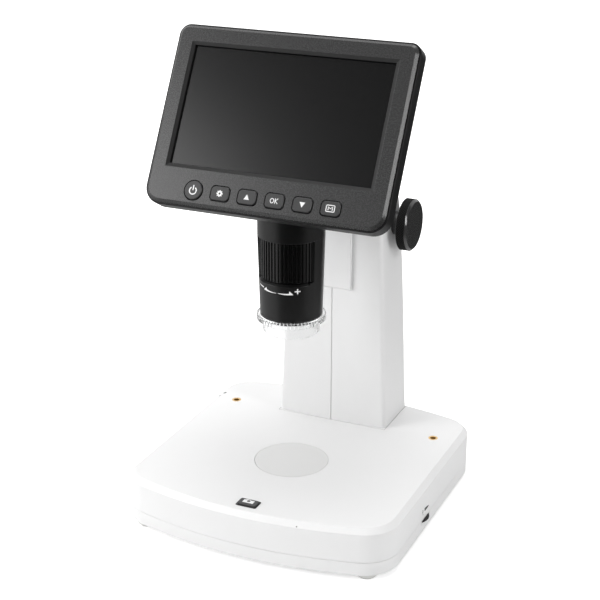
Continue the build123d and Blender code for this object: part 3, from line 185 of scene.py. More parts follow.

# ---------------------------------------------------------------------------
# Base housing: the white injection-moulded ABS hood of the foot, with a fine
# spark-eroded texture, a grey disc of painted shade for the power light's pinhole
# in its front slope, and the tray that closes it from below, held by screws.
# ---------------------------------------------------------------------------


def moulded_surface_group():
    """Clouded colour, uneven gloss and the height of fine pits, for every moulded or machined finish."""
    group = bpy.data.node_groups.new("moulded surface", "ShaderNodeTree")
    for socket, kind in (("Place", "NodeSocketVector"), ("Colour", "NodeSocketColor"),
                         ("Mottle", "NodeSocketFloat"), ("Roughness", "NodeSocketFloat"),
                         ("Grain", "NodeSocketFloat")):
        group.interface.new_socket(socket, in_out="INPUT", socket_type=kind)
    for socket, kind in (("Colour", "NodeSocketColor"), ("Roughness", "NodeSocketFloat"),
                         ("Height", "NodeSocketFloat")):
        group.interface.new_socket(socket, in_out="OUTPUT", socket_type=kind)
    link = group.links.new
    inner = group.nodes.new("NodeGroupInput")
    outer = group.nodes.new("NodeGroupOutput")
    cloud = group.nodes.new("ShaderNodeTexNoise")
    cloud.inputs["Scale"].default_value = 28.0
    cloud.inputs["Detail"].default_value = 2.0
    link(inner.outputs["Place"], cloud.inputs["Vector"])
    darker = group.nodes.new("ShaderNodeMix")
    darker.data_type = "RGBA"
    darker.blend_type = "MULTIPLY"
    darker.inputs["B"].default_value = (0.0, 0.0, 0.0, 1.0)
    shade = arithmetic(group, "MULTIPLY", cloud.outputs["Fac"], inner.outputs["Mottle"])
    link(shade, darker.inputs["Factor"])
    link(inner.outputs["Colour"], darker.inputs["A"])
    link(darker.outputs["Result"], outer.inputs["Colour"])
    pits = group.nodes.new("ShaderNodeTexNoise")
    pits.inputs["Detail"].default_value = 3.0
    link(inner.outputs["Place"], pits.inputs["Vector"])
    link(inner.outputs["Grain"], pits.inputs["Scale"])
    link(pits.outputs["Fac"], outer.inputs["Height"])
    gloss = ranged(group, pits.outputs["Fac"], (0.3, 0.7), (-0.04, 0.04))
    link(arithmetic(group, "ADD", gloss, inner.outputs["Roughness"]), outer.inputs["Roughness"])
    return group


moulded_surface = moulded_surface_group()


def surface_in(tree, colour, mottle, roughness, grain):
    """Places the moulded surface in a material, on its Object coordinates, and feeds the shader from it."""
    place = tree.nodes.new("ShaderNodeTexCoord")
    surface = tree.nodes.new("ShaderNodeGroup")
    surface.node_tree = moulded_surface
    surface.inputs["Colour"].default_value = (*colour, 1.0)
    surface.inputs["Mottle"].default_value = mottle
    surface.inputs["Roughness"].default_value = roughness
    surface.inputs["Grain"].default_value = grain
    bsdf = tree.nodes["Principled BSDF"]
    tree.links.new(place.outputs["Object"], surface.inputs["Place"])
    tree.links.new(surface.outputs["Colour"], bsdf.inputs["Base Color"])
    tree.links.new(surface.outputs["Roughness"], bsdf.inputs["Roughness"])
    return surface


def moulded(name, colour, roughness, grain, depth, mottle=0.04, metallic=0.0, specular=0.5, soft_edge=0.0):
    """A moulded or machined finish: colour, gloss, grains per metre and their depth in metres."""
    material = bpy.data.materials.new(name)
    material.use_nodes = True
    tree = material.node_tree
    bsdf = tree.nodes["Principled BSDF"]
    bsdf.inputs["Metallic"].default_value = metallic
    bsdf.inputs["Specular IOR Level"].default_value = specular
    surface = surface_in(tree, colour, mottle, roughness, grain)
    bump = tree.nodes.new("ShaderNodeBump")
    bump.inputs["Strength"].default_value = 0.5
    bump.inputs["Distance"].default_value = depth
    if soft_edge:
        rounding = tree.nodes.new("ShaderNodeBevel")
        rounding.samples = 4
        rounding.inputs["Radius"].default_value = soft_edge
        tree.links.new(rounding.outputs["Normal"], bump.inputs["Normal"])
    tree.links.new(surface.outputs["Height"], bump.inputs["Height"])
    tree.links.new(bump.outputs["Normal"], bsdf.inputs["Normal"])
    return material


def dress(material, *names):
    """Gives carried-over solids their finish."""
    for name in names:
        mesh = nodes[name].data
        mesh.materials.clear()
        mesh.materials.append(material)
        for face in mesh.polygons:
            face.material_index = 0


def set_piece(name, mesh, finish, body, replaced=None):
    """Puts a drawn mesh on the body that carries it, in place of a plain solid where one is named."""
    mesh.materials.append(finish)
    piece = in_scene(name, mesh)
    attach(piece, body)
    if replaced:
        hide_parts(replaced)


def skin_of(name):
    """The outer surface of a solid, for prints to lie on."""
    mesh = nodes[name].data
    faces = [face.vertices[:] for face in mesh.polygons]
    return BVHTree.FromPolygons([point.co for point in mesh.vertices], faces)


def laid_flat(middle, right, up, skin=None):
    """Where a print drawn in millimetres lies: on a plane, or pressed on the skin below that plane."""
    middle, right, up = Vector(middle), Vector(right).normalized(), Vector(up).normalized()
    out = right.cross(up)

    def place(x, y, rise):
        """Where one point of the print comes to lie."""
        point = middle + (right * x + up * y) * 0.001
        if skin:
            point = skin.ray_cast(point + out * 0.004, -out, 0.02)[0] or point
        return point + out * rise

    return place


def printed(name, outlines, place, body, ink, rise=0.00002, finest=20.0):
    """A thin film of ink inside closed outlines in millimetres, divided where it follows a curve."""
    weld = 0.0001
    drawing = bpy.data.curves.new(name, "CURVE")
    drawing.dimensions = "2D"
    drawing.fill_mode = "BOTH"
    drawing.extrude = 1.0
    for outline in outlines:
        line = drawing.splines.new("POLY")
        line.points.add(len(outline) - 1)
        for point, (x, y) in zip(line.points, outline):
            point.co = (x, y, 0.0, 1.0)
        line.use_cyclic_u = True
    drawn = bpy.data.objects.new(name + "_drawn", drawing)
    mesh = bpy.data.meshes.new_from_object(drawn)
    bpy.data.objects.remove(drawn)
    film = bmesh.new()
    film.from_mesh(mesh)
    bmesh.ops.remove_doubles(film, verts=film.verts, dist=weld)
    for halving in range(3):
        spans = [(edge, edge.verts[0].co - edge.verts[1].co) for edge in film.edges]
        long_edges = [edge for edge, span in spans if span.to_2d().length > finest and abs(span.z) < 0.5]
        bmesh.ops.subdivide_edges(film, edges=long_edges, cuts=1)
        bmesh.ops.triangulate(film, faces=film.faces)
    bmesh.ops.dissolve_degenerate(film, dist=weld, edges=film.edges)
    film.to_mesh(mesh)
    film.free()
    for vertex in mesh.vertices:
        x, y, side = vertex.co
        vertex.co = place(x, y, rise if side > 0.0 else -rise / 2)
    set_piece(name, mesh, ink, body)


def ring_points(radius, start=0.0, end=360.0, steps=28, middle=(0.0, 0.0)):
    """Points on a circle, or on an arc with both of its ends, from and to angles in degrees."""
    count = steps + (end - start < 360.0)
    turns = [math.radians(start + (end - start) * step / steps) for step in range(count)]
    return [(middle[0] + radius * math.cos(turn), middle[1] + radius * math.sin(turn)) for turn in turns]


def stroke(points, width, closed=False):
    """The outline of a drawn line of the given width through the points."""
    left, right = [], []
    count = len(points)
    for i, here in enumerate(points):
        before = points[i - 1] if i or closed else here
        after = points[(i + 1) % count] if i < count - 1 or closed else here
        along = Vector((after[0] - before[0], after[1] - before[1])).normalized()
        side = Vector((-along.y, along.x)) * width / 2
        left.append((here[0] + side.x, here[1] + side.y))
        right.append((here[0] - side.x, here[1] - side.y))
    return [left, right] if closed else [left + right[::-1]]


white_abs = moulded("white_abs", (0.83, 0.83, 0.83), 0.42, 2600.0, 0.00002, 0.02, soft_edge=0.0005)
dress(white_abs, "base_housing", "base_tray")
cast_steel = moulded("painted_weight_steel", (0.22, 0.22, 0.23), 0.6, 500.0, 0.00008, 0.2, 0.6)
dress(cast_steel, "base_weight")
foot_rubber = moulded("white_foot_rubber", (0.72, 0.72, 0.70), 0.7, 1800.0, 0.00003, 0.05)
dress(foot_rubber, "rubber_feet")
sign_ink = moulded("dark_sign_ink", (0.012, 0.012, 0.012), 0.5, 3000.0, 0.000002, 0.03, 0.0, 0.3)
# Grey ink of painted shade, for the dark of the power light's pinhole and of the gap round the column's foot.
painted_hole_and_gap_shade = moulded("painted_hole_and_gap_shade", (0.25, 0.25, 0.25), 0.6, 3000.0, 0.000002, 0.03, 0.0, 0.2)
housing_skin = skin_of("base_housing")
to_right = (1.0, 0.0, 0.0)
to_back = (0.0, 1.0, 0.0)
up_front_slope = (0.0, 0.7071, 0.7071)
# A grey disc of painted shade stands for the power light's pinhole; no hole is cut.
printed("power_light_hole", [ring_points(0.4, steps=16)],
        laid_flat((0.0314, -0.07955, 0.0285), to_right, up_front_slope, housing_skin), "stand", painted_hole_and_gap_shade)

# ---------------------------------------------------------------------------
# Stage: a round milky acrylic plate let into the top of the base, lit from
# below by a small lamp board in a white light well.
# ---------------------------------------------------------------------------
milky_acrylic = moulded("milky_acrylic", (0.73, 0.73, 0.725), 0.05, 300.0, 0.000002, 0.02)
dress(milky_acrylic, "stage_disc")
dress(white_abs, "light_well")
circuit_board = moulded("circuit_board", (0.03, 0.12, 0.06), 0.4, 1500.0, 0.00002, 0.2)
dress(circuit_board, "stage_lamp_board")

# ---------------------------------------------------------------------------
# Shutter key: a black plastic frame set in the top of the base at the front, and
# a moulded key that stands in it on a small switch board, with a white camera
# sign printed on its top.
# ---------------------------------------------------------------------------
dark_key = moulded("dark_key_plastic", (0.033, 0.033, 0.0333), 0.38, 2600.0, 0.00001, 0.06, 0.0, 0.4,
                   soft_edge=0.00025)
key_frame = moulded("key_frame_plastic", (0.012, 0.012, 0.013), 0.3, 2600.0, 0.00001, 0.08, 0.0, 0.3,
                    soft_edge=0.0002)
key_block = moulded("shutter_key_plastic", (0.05, 0.05, 0.051), 0.45, 2600.0, 0.00001, 0.06, 0.0, 0.4)
white_ink = moulded("white_ink", (0.86, 0.86, 0.86), 0.5, 3000.0, 0.000002, 0.03, 0.0, 0.3)
dress(circuit_board, "shutter_board")


def lofted_mesh(sections, tube=False):
    """A solid through level outlines with as many points each, given as (outline, height) pairs in
    millimetres, bottom to top; a tube goes up its outside and down its inside."""
    drawing = bmesh.new()
    rings = []
    for outline, height in sections:
        rings.append([drawing.verts.new((x * 0.001, y * 0.001, height * 0.001)) for x, y in outline])
    for low, high in zip(rings, rings[1:] + rings[:1] if tube else rings[1:]):
        for i in range(len(low)):
            after = (i + 1) % len(low)
            drawing.faces.new((low[i], low[after], high[after], high[i]))
    if not tube:
        drawing.faces.new(rings[0][::-1])
        drawing.faces.new(rings[-1])
    mesh = bpy.data.meshes.new("lofted")
    drawing.to_mesh(mesh)
    drawing.free()
    return mesh


def rounded(half_width, half_depth, radius, middle_y=0.0, steps=4):
    """The outline of a rectangle with round corners, in millimetres."""
    outline = []
    for start, x_side, y_side in ((0, 1, 1), (90, -1, 1), (180, -1, -1), (270, 1, -1)):
        corner = (x_side * (half_width - radius), y_side * (half_depth - radius) + middle_y)
        outline += ring_points(radius, start, start + 90, steps, corner)
    return outline


shutter_y = -70.95
base_top = 30.0
frame_edge = rounded(5.9, 3.85, 0.9, shutter_y)
frame_opening = rounded(5.45, 3.25, 0.9, shutter_y)
frame_top = 30.3
surround_mesh = lofted_mesh([(frame_edge, base_top), (frame_edge, 30.2),
                             (rounded(5.75, 3.7, 0.8, shutter_y), frame_top), (frame_opening, frame_top),
                             (frame_opening, base_top)], True)
set_piece("shutter_surround", surround_mesh, key_frame, "stand", "shutter_frame")
key_collar = rounded(5.3, 3.5, 1.4, shutter_y)
key_side = rounded(5.25, 3.1, 0.8, shutter_y)
key_mesh = lofted_mesh([(key_collar, 25.8), (key_collar, 26.9), (key_side, 26.9), (key_side, 30.7),
                        (rounded(5.0, 2.8, 0.6, shutter_y), 31.0)])
set_piece("shutter_key", key_mesh, key_block, "shutter", "shutter_button")
camera_sign = [(-3.05, -1.1), (3.05, -1.1), (3.05, 1.8), (0.6, 1.8), (0.3, 2.35), (-1.9, 2.35), (-2.2, 1.8),
               (-3.05, 1.8)]
camera_lens = ring_points(0.95, steps=20, middle=(-0.1, 0.85))
printed("sign_camera", [camera_sign, camera_lens],
        laid_flat((0.0, shutter_y * 0.001, 0.031), to_right, to_back), "shutter", white_ink)

# ---------------------------------------------------------------------------
# Clip inserts: two brass bushes pressed into the top of the base, for the
# spring clips that hold a slide.
# ---------------------------------------------------------------------------
turned_brass = moulded("turned_brass", (0.86, 0.60, 0.27), 0.32, 1200.0, 0.00001, 0.1, 1.0, soft_edge=0.0002)
dress(turned_brass, "clip_inserts")

# ---------------------------------------------------------------------------
# Dimmer and light switch: a ribbed thumbwheel on a small pot looks out of a
# lipped slot in the right wall, under a printed wedge and lamp. A slide switch
# sits in the left wall, with two marks near it, and the power socket at the back.
# ---------------------------------------------------------------------------
black_plastic = moulded("black_plastic", (0.006, 0.006, 0.0062), 0.38, 2600.0, 0.00001, 0.1, 0.0, 0.3,
                        soft_edge=0.0003)
dress(black_plastic, "dimmer_pot", "switch_body", "switch_nub", "power_socket")
dress(circuit_board, "supply_board")
along_x = Matrix(((0, 0, 1, 0), (1, 0, 0, 0), (0, 1, 0, 0), (0, 0, 0, 1)))
wheel_x = 71.3
wheel_y = -12.7
wheel_steps = 192
steps_per_groove = 4
groove_depth = 0.3
wheel_sections = []
for radius, height in ((1.5, 5.6), (1.5, 7.9), (5.6, 7.9), (5.6, 9.15), (8.8, 9.15), (9.0, 9.35), (9.0, 9.9),
                       (8.8, 10.1), (1.0, 10.1)):
    rim = []
    for step in range(wheel_steps):
        grooved = step % steps_per_groove == 0 and radius > 8.5
        reach = radius - (groove_depth if grooved else 0.0)
        turn = math.tau * step / wheel_steps
        rim.append((wheel_x + reach * math.cos(turn), wheel_y + reach * math.sin(turn)))
    wheel_sections.append((rim, height))
set_piece("ribbed_dimmer_wheel", lofted_mesh(wheel_sections), black_plastic, "dimmer",
          "dimmer_wheel")
lip_inside = 78.15
lip_face = 78.6
lip_edge = [(-18.6, 7.6), (-6.8, 7.6), (-6.8, 11.0), (-18.6, 11.0)]
lip_sections = [(lip_edge, lip_inside), (lip_edge, lip_face)]
for half_slot, depth in ((5.5, lip_face), (5.87, lip_inside)):
    near, far = wheel_y - half_slot, wheel_y + half_slot
    lip_sections.append(([(near, 9.0), (far, 9.0), (far, 10.25), (near, 10.25)], depth))
lip_mesh = lofted_mesh(lip_sections, True)
lip_mesh.transform(along_x)
set_piece("dimmer_slot_lip", lip_mesh, white_abs, "stand")
right_wall = laid_flat((lip_face * 0.001, 0.0, 0.0), to_back, (0.0, 0.0, 1.0), housing_skin)
wedge = [(-14.6, 16.5), (-12.5, 16.25), (-10.0, 15.7), (-7.2, 14.9), (-9.0, 14.55), (-11.5, 14.4),
         (-14.3, 14.6)]
printed("sign_dimmer_wedge", [wedge], right_wall, "stand", sign_ink)
bulb = stroke(ring_points(0.75, -60, 240, 14, (-17.3, 15.6)), 0.42)
bulb_foot = stroke([(-17.15, 14.5), (-16.75, 13.4)], 0.5)
printed("sign_lamp", bulb + bulb_foot, right_wall, "stand", sign_ink)
switch_marks = [[(-74.9, 46.8), (-73.9, 46.8), (-73.2, 48.7), (-74.2, 48.7)],
                [(-75.5, 41.8), (-75.0, 41.8), (-74.8, 43.4), (-75.3, 43.4)]]
top_middle = (0.0, 0.0, base_top * 0.001)
printed("sign_switch", switch_marks, laid_flat(top_middle, to_right, to_back, housing_skin), "stand",
        sign_ink)

# ---------------------------------------------------------------------------
# Column: two white moulded half shells screwed together on the centre seam,
# standing on a foot plate and guiding the mast in a metal channel. A thin grey
# film round its foot is painted shade, for the gap where the shells meet the base.
# ---------------------------------------------------------------------------
dress(white_abs, "column_left_shell", "column_right_shell")
plain_aluminium = moulded("drawn_aluminium", (0.62, 0.62, 0.63), 0.35, 700.0, 0.00001, 0.06, 1.0)
dress(plain_aluminium, "guide_channel")
dress(cast_steel, "foot_plate")
# Painted shade: a thin grey frame printed on the base top round the column's foot, where the gap would be
# dark.
foot_shade_outside = [(-34.0, 40.1), (34.0, 40.1), (34.0, 78.6), (-34.0, 78.6)]
foot_shade_inside = [(-33.8, 40.2), (33.8, 40.2), (33.8, 78.4), (-33.8, 78.4)]
printed("column_foot_gap", [foot_shade_outside, foot_shade_inside], laid_flat(top_middle, to_right, to_back), "stand",
        painted_hole_and_gap_shade)

# ---------------------------------------------------------------------------
# Screws: black zinc-plated pan heads with a cross recess, in the tray, column
# and monitor, and bright steel ones in the tilt bracket. One screw is drawn and
# set on every screw place.
# ---------------------------------------------------------------------------


def screw_pattern():
    """Sets the drawn screw on each point, along an axis."""
    tree = bpy.data.node_groups.new("screws in place", "GeometryNodeTree")
    for socket, kind in (("Points", "NodeSocketGeometry"), ("Screw", "NodeSocketObject"),
                         ("Axis", "NodeSocketVector"), ("Finish", "NodeSocketMaterial")):
        tree.interface.new_socket(socket, in_out="INPUT", socket_type=kind)
    tree.interface.new_socket("Screws", in_out="OUTPUT", socket_type="NodeSocketGeometry")
    link = tree.links.new
    inner = tree.nodes.new("NodeGroupInput")
    outer = tree.nodes.new("NodeGroupOutput")
    drawn = tree.nodes.new("GeometryNodeObjectInfo")
    turn = tree.nodes.new("FunctionNodeAlignRotationToVector")
    turn.axis = "Z"
    spread = tree.nodes.new("GeometryNodeInstanceOnPoints")
    real = tree.nodes.new("GeometryNodeRealizeInstances")
    finish = tree.nodes.new("GeometryNodeSetMaterial")
    link(inner.outputs["Screw"], drawn.inputs["Object"])
    link(inner.outputs["Axis"], turn.inputs["Vector"])
    link(inner.outputs["Points"], spread.inputs["Points"])
    link(drawn.outputs["Geometry"], spread.inputs["Instance"])
    link(turn.outputs["Rotation"], spread.inputs["Rotation"])
    link(spread.outputs["Instances"], real.inputs["Geometry"])
    link(real.outputs["Geometry"], finish.inputs["Geometry"])
    link(inner.outputs["Finish"], finish.inputs["Material"])
    link(finish.outputs["Geometry"], outer.inputs["Screws"])
    return tree


def give_inputs(modifier, values):
    """Gives a Geometry Nodes modifier the values named after its tree's inputs."""
    for item in modifier.node_group.interface.items_tree:
        if item.in_out == "INPUT" and item.name in values:
            modifier[item.identifier] = values[item.name]


def made_mesh(drawn):
    """The plain mesh that an object's modifiers make of it."""
    return bpy.data.meshes.new_from_object(drawn.evaluated_get(bpy.context.evaluated_depsgraph_get()))


def turned_mesh(profile, steps=32, tube=False):
    """A solid of revolution about Z from (radius, height) pairs in millimetres, bottom to top, or up its
    outside and down its inside for a tube."""
    sections = [(ring_points(radius, steps=steps), height) for radius, height in profile]
    return lofted_mesh(sections, tube)


def drawn_screw(head_radius, head_height, shank_radius, shank_length):
    """A pan head on the plane z = 0 with its shank below, and a cross recess cut in the head."""
    crown = 0.35 * head_height
    body = turned_mesh([(shank_radius * 0.3, -shank_length), (shank_radius, -shank_length + shank_radius),
                        (shank_radius, 0.0), (head_radius, 0.0), (head_radius, head_height - crown),
                        (head_radius * 0.94, head_height - crown * 0.4), (head_radius * 0.8, head_height)])
    screw = in_scene("screw", body)
    recess = bmesh.new()
    for turn in (0.0, math.pi / 2):
        blade = bmesh.ops.create_cube(recess, size=1.0)["verts"]
        for vertex in blade:
            above = vertex.co.z > 0
            length = 2 * head_radius * (0.56 if above else 0.3)
            height = head_height * (1.1 if above else 0.25)
            width = 0.26 * head_radius
            vertex.co = (vertex.co.x * length * 0.001, vertex.co.y * width * 0.001, height * 0.001)
        bmesh.ops.rotate(recess, verts=blade, cent=(0.0, 0.0, 0.0), matrix=Matrix.Rotation(turn, 3, "Z"))
    cutter_mesh = bpy.data.meshes.new("recess")
    recess.to_mesh(cutter_mesh)
    recess.free()
    cutter = in_scene("recess", cutter_mesh)
    cut = screw.modifiers.new("cut", "BOOLEAN")
    cut.operation = "DIFFERENCE"
    cut.solver = "EXACT"
    cut.use_self = True
    cut.object = cutter
    result = made_mesh(screw)
    screw.modifiers.clear()
    screw.data = result
    bpy.data.objects.remove(cutter)
    return screw


screws_in_place = screw_pattern()


def set_screws(name, groups, finish, body, node):
    """One mesh of screws for a body: groups of (screw, axis, places in millimetres)."""
    joined = bmesh.new()
    for screw, axis, places in groups:
        points = bpy.data.meshes.new("screw_places")
        points.from_pydata([Vector(place) * 0.001 for place in places], [], [])
        holder = in_scene("screw_places", points)
        pattern = holder.modifiers.new("screws", "NODES")
        pattern.node_group = screws_in_place
        give_inputs(pattern, {"Screw": screw, "Axis": Vector(axis), "Finish": finish})
        joined.from_mesh(made_mesh(holder))
        bpy.data.objects.remove(holder)
        bpy.data.objects.remove(screw)
    mesh = bpy.data.meshes.new(name)
    joined.to_mesh(mesh)
    joined.free()
    set_piece(name, mesh, finish, body, node)


black_zinc = moulded("black_zinc_steel", (0.05, 0.05, 0.052), 0.35, 900.0, 0.00001, 0.1, 0.8)
ground_steel = moulded("ground_steel", (0.56, 0.56, 0.57), 0.25, 900.0, 0.000005, 0.06, 1.0)
downwards = (0.0, 0.0, -1.0)
tray_places = [(x, y, 5.4) for x in (-46.0, 46.0) for y in (-51.35, 51.35)]
foot_plate_places = [(x, y, 27.0) for x in (-18.0, 18.0) for y in (50.55, 66.55)]
column_places = ((-21.23, 69.15, 118.0, 30.2), (-22.52, 70.65, 82.0, 31.5), (-23.96, 70.94, 46.0, 32.9))
set_screws("base_cross_screws", [
    (drawn_screw(2.8, 1.8, 1.25, 10.0), downwards, tray_places),
    (drawn_screw(3.6, 2.4, 2.0, 7.0), downwards, foot_plate_places),
], black_zinc, "stand", "base_screws")
set_screws("column_cross_screws", [
    (drawn_screw(2.8, 1.8, 1.25, shank), (-1.0, 0.0, 0.0), [(x, y, z)]) for x, y, z, shank in column_places
], black_zinc, "stand", "column_screws")

# ---------------------------------------------------------------------------
# Focus drive: a black knob on a steel pinion shaft that runs in two bushes, with
# a black hub where it enters the column. The knob is turned, its rim is knurled
# in diamonds and its outer edge is chamfered.
# ---------------------------------------------------------------------------


def knurling():
    """Presses a diamond knurl into the rim of a knob that turns about X."""
    tree = bpy.data.node_groups.new("diamond knurl", "GeometryNodeTree")
    tree.interface.new_socket("Knob", in_out="INPUT", socket_type="NodeSocketGeometry")
    for socket in ("Axis Y", "Axis Z", "Diamonds", "Pitch", "Depth", "Start", "End"):
        tree.interface.new_socket(socket, in_out="INPUT", socket_type="NodeSocketFloat")
    tree.interface.new_socket("Finish", in_out="INPUT", socket_type="NodeSocketMaterial")
    tree.interface.new_socket("Knob", in_out="OUTPUT", socket_type="NodeSocketGeometry")
    inner = tree.nodes.new("NodeGroupInput").outputs
    where = tree.nodes.new("GeometryNodeInputPosition")
    parts = tree.nodes.new("ShaderNodeSeparateXYZ")
    tree.links.new(where.outputs[0], parts.inputs[0])
    side = arithmetic(tree, "SUBTRACT", parts.outputs["Y"], inner["Axis Y"])
    rise = arithmetic(tree, "SUBTRACT", parts.outputs["Z"], inner["Axis Z"])
    squares = [arithmetic(tree, "MULTIPLY", part, part) for part in (side, rise)]
    reach = arithmetic(tree, "SQRT", arithmetic(tree, "ADD", *squares))
    half_diamonds = arithmetic(tree, "MULTIPLY", inner["Diamonds"], 0.5)
    turn = arithmetic(tree, "MULTIPLY", arithmetic(tree, "ARCTAN2", side, rise), half_diamonds)
    half_turns = arithmetic(tree, "MULTIPLY", parts.outputs["X"], math.pi)
    run = arithmetic(tree, "DIVIDE", half_turns, inner["Pitch"])
    waves = []
    for crossing in ("ADD", "SUBTRACT"):
        wave = arithmetic(tree, "SINE", arithmetic(tree, crossing, turn, run))
        waves.append(arithmetic(tree, "ABSOLUTE", wave))
    groove = arithmetic(tree, "SUBTRACT", 1.0, arithmetic(tree, "MULTIPLY", *waves))
    after = arithmetic(tree, "GREATER_THAN", parts.outputs["X"], inner["Start"])
    before = arithmetic(tree, "LESS_THAN", parts.outputs["X"], inner["End"])
    on_rim = arithmetic(tree, "MULTIPLY", after, before)
    sunk = arithmetic(tree, "MULTIPLY", on_rim, arithmetic(tree, "MULTIPLY", groove, inner["Depth"]))
    inward = arithmetic(tree, "DIVIDE", arithmetic(tree, "MULTIPLY", sunk, -1.0), reach)
    shift = tree.nodes.new("ShaderNodeCombineXYZ")
    tree.links.new(arithmetic(tree, "MULTIPLY", side, inward), shift.inputs["Y"])
    tree.links.new(arithmetic(tree, "MULTIPLY", rise, inward), shift.inputs["Z"])
    press = tree.nodes.new("GeometryNodeSetPosition")
    tree.links.new(inner["Knob"], press.inputs["Geometry"])
    tree.links.new(shift.outputs[0], press.inputs["Offset"])
    kept = tree.nodes.new("GeometryNodeStoreNamedAttribute")
    kept.inputs["Name"].default_value = "groove"
    tree.links.new(press.outputs[0], kept.inputs["Geometry"])
    tree.links.new(arithmetic(tree, "DIVIDE", sunk, inner["Depth"]), kept.inputs["Value"])
    real = tree.nodes.new("GeometryNodeRealizeInstances")
    tree.links.new(kept.outputs[0], real.inputs["Geometry"])
    finish = tree.nodes.new("GeometryNodeSetMaterial")
    tree.links.new(real.outputs[0], finish.inputs["Geometry"])
    tree.links.new(inner["Finish"], finish.inputs["Material"])
    outer = tree.nodes.new("NodeGroupOutput")
    tree.links.new(finish.outputs[0], outer.inputs["Knob"])
    return tree


knob_plastic = moulded("black_knob_plastic", (0.02, 0.02, 0.02), 0.18, 2600.0, 0.000002, 0.1, 0.0, 0.8)
knurl_plastic = moulded("black_knurl_plastic", (0.0, 0.0, 0.0), 0.5, 2600.0, 0.000002, 0.1, 0.0, 0.12)
knurl_tree = knurl_plastic.node_tree
# Painted shade: the knurl's colour runs from 0.03 on the diamond tips to black in the grooves, by the stored
# groove depth.
groove_shade = knurl_tree.nodes.new("ShaderNodeAttribute")
groove_shade.attribute_name = "groove"
groove_painted_shade = knurl_tree.nodes.new("ShaderNodeMix")
groove_painted_shade.data_type = "RGBA"
groove_painted_shade.inputs["A"].default_value = (0.03, 0.03, 0.03, 1.0)
groove_painted_shade.inputs["B"].default_value = (0.0, 0.0, 0.0, 1.0)
knurl_tree.links.new(groove_shade.outputs["Fac"], groove_painted_shade.inputs["Factor"])
knurl_tree.links.new(groove_painted_shade.outputs["Result"], knurl_tree.nodes["Group"].inputs["Colour"])
dress(knob_plastic, "shaft_hub")
dress(ground_steel, "pinion_shaft")
dress(turned_brass, "shaft_bushes")
knob_middle = Vector((0.0, 0.06195, 0.1498))
rim_radius = 14.85
rim_start = 34.95
rim_width = 4.7
rim_rows = 28
knob_profile = [(6.2, 34.4), (13.9, 34.4), (14.5, 34.55), (rim_radius, 34.85), (rim_radius, rim_start)]
knob_profile += [(rim_radius, rim_start + rim_width * row / rim_rows) for row in range(1, rim_rows + 1)]
knob_profile += [(14.78, 39.75), (13.62, 40.92), (13.5, 41.0), (6.0, 41.0)]
blank_mesh = turned_mesh(knob_profile, 480)
blank_mesh.transform(Matrix.Translation(knob_middle) @ along_x)
knob_blank = in_scene("knob_blank", blank_mesh)
pressed = knob_blank.modifiers.new("knurl", "NODES")
pressed.node_group = knurling()
give_inputs(pressed, {"Axis Y": knob_middle.y, "Axis Z": knob_middle.z, "Diamonds": 62.0, "Pitch": 0.0015,
                      "Depth": 0.0006, "Start": 0.03498, "End": 0.03964, "Finish": knob_plastic})
knob_mesh = made_mesh(knob_blank)
bpy.data.objects.remove(knob_blank)
for face in knob_mesh.polygons:
    along = 1000 * face.center.x
    reach = 1000 * (face.center - Vector((face.center.x, knob_middle.y, knob_middle.z))).length
    face.use_smooth = 13.65 < reach < 14.84
    face.material_index = int(reach > 14.1 and rim_start < along < rim_start + rim_width)
set_piece("knurled_knob", knob_mesh, knurl_plastic, "drive_knob", "focus_knob")

# ---------------------------------------------------------------------------
# Mast: a drawn aluminium post with a rack, a sliding block, a white cover in
# front of it and a black cap on top.
# ---------------------------------------------------------------------------
black_aluminium = moulded("black_anodised_aluminium", (0.018, 0.018, 0.019), 0.38, 1500.0, 0.00001, 0.1, 0.5)
dress(plain_aluminium, "mast")
dress(turned_brass, "rack")
dress(white_abs, "slide_cover")
dress(black_plastic, "slide_block", "mast_cap")

# ---------------------------------------------------------------------------
# Arm and barrel: a black moulded arm carries the barrel with the camera, the
# lamp ring and the focusing ring; the bracket of the monitor sits on its top.
# White arrows with a minus and a plus under the ring show which way it turns.
# ---------------------------------------------------------------------------
barrel_plastic = moulded("black_barrel_plastic", (0.002, 0.002, 0.002), 0.32, 2600.0, 0.00001, 0.1, 0.0, 0.5,
                         soft_edge=0.0003)
dress(barrel_plastic, "barrel_sleeve", "barrel_head")
ring_plastic = moulded("black_ring_plastic", (0.002, 0.002, 0.002), 0.22, 2600.0, 0.000001, 0.1, 0.0, 0.6)
dress(ring_plastic, "focus_ring")
dress(black_plastic, "head_arm", "tilt_bracket")
dress(ground_steel, "tilt_pin")
dress(circuit_board, "camera_board", "lamp_ring")
dress(black_aluminium, "lens_carrier")
bracket_places = [(x, y, 196.5) for x in (-8.0, 8.0) for y in (-16.05, -4.05)]
set_screws("bracket_cross_screws", [(drawn_screw(2.6, 1.4, 1.5, 8.5), (0.0, 0.0, 1.0), bracket_places)],
           ground_steel, "head", "bracket_screws")

barrel_y = -0.01605
sleeve_radius = 0.0175
sleeve_skin = skin_of("barrel_sleeve")


def on_sleeve(turn, height, rise):
    """A point on the sleeve from its turn in degrees, right of the front, and its height in millimetres."""
    out = Vector((math.sin(math.radians(turn)), -math.cos(math.radians(turn)), 0.0))
    axis = Vector((0.0, barrel_y, height * 0.001))
    skin_point = sleeve_skin.ray_cast(axis + out * 0.03, -out, 0.02)[0]
    return (skin_point or axis + out * sleeve_radius) + out * rise


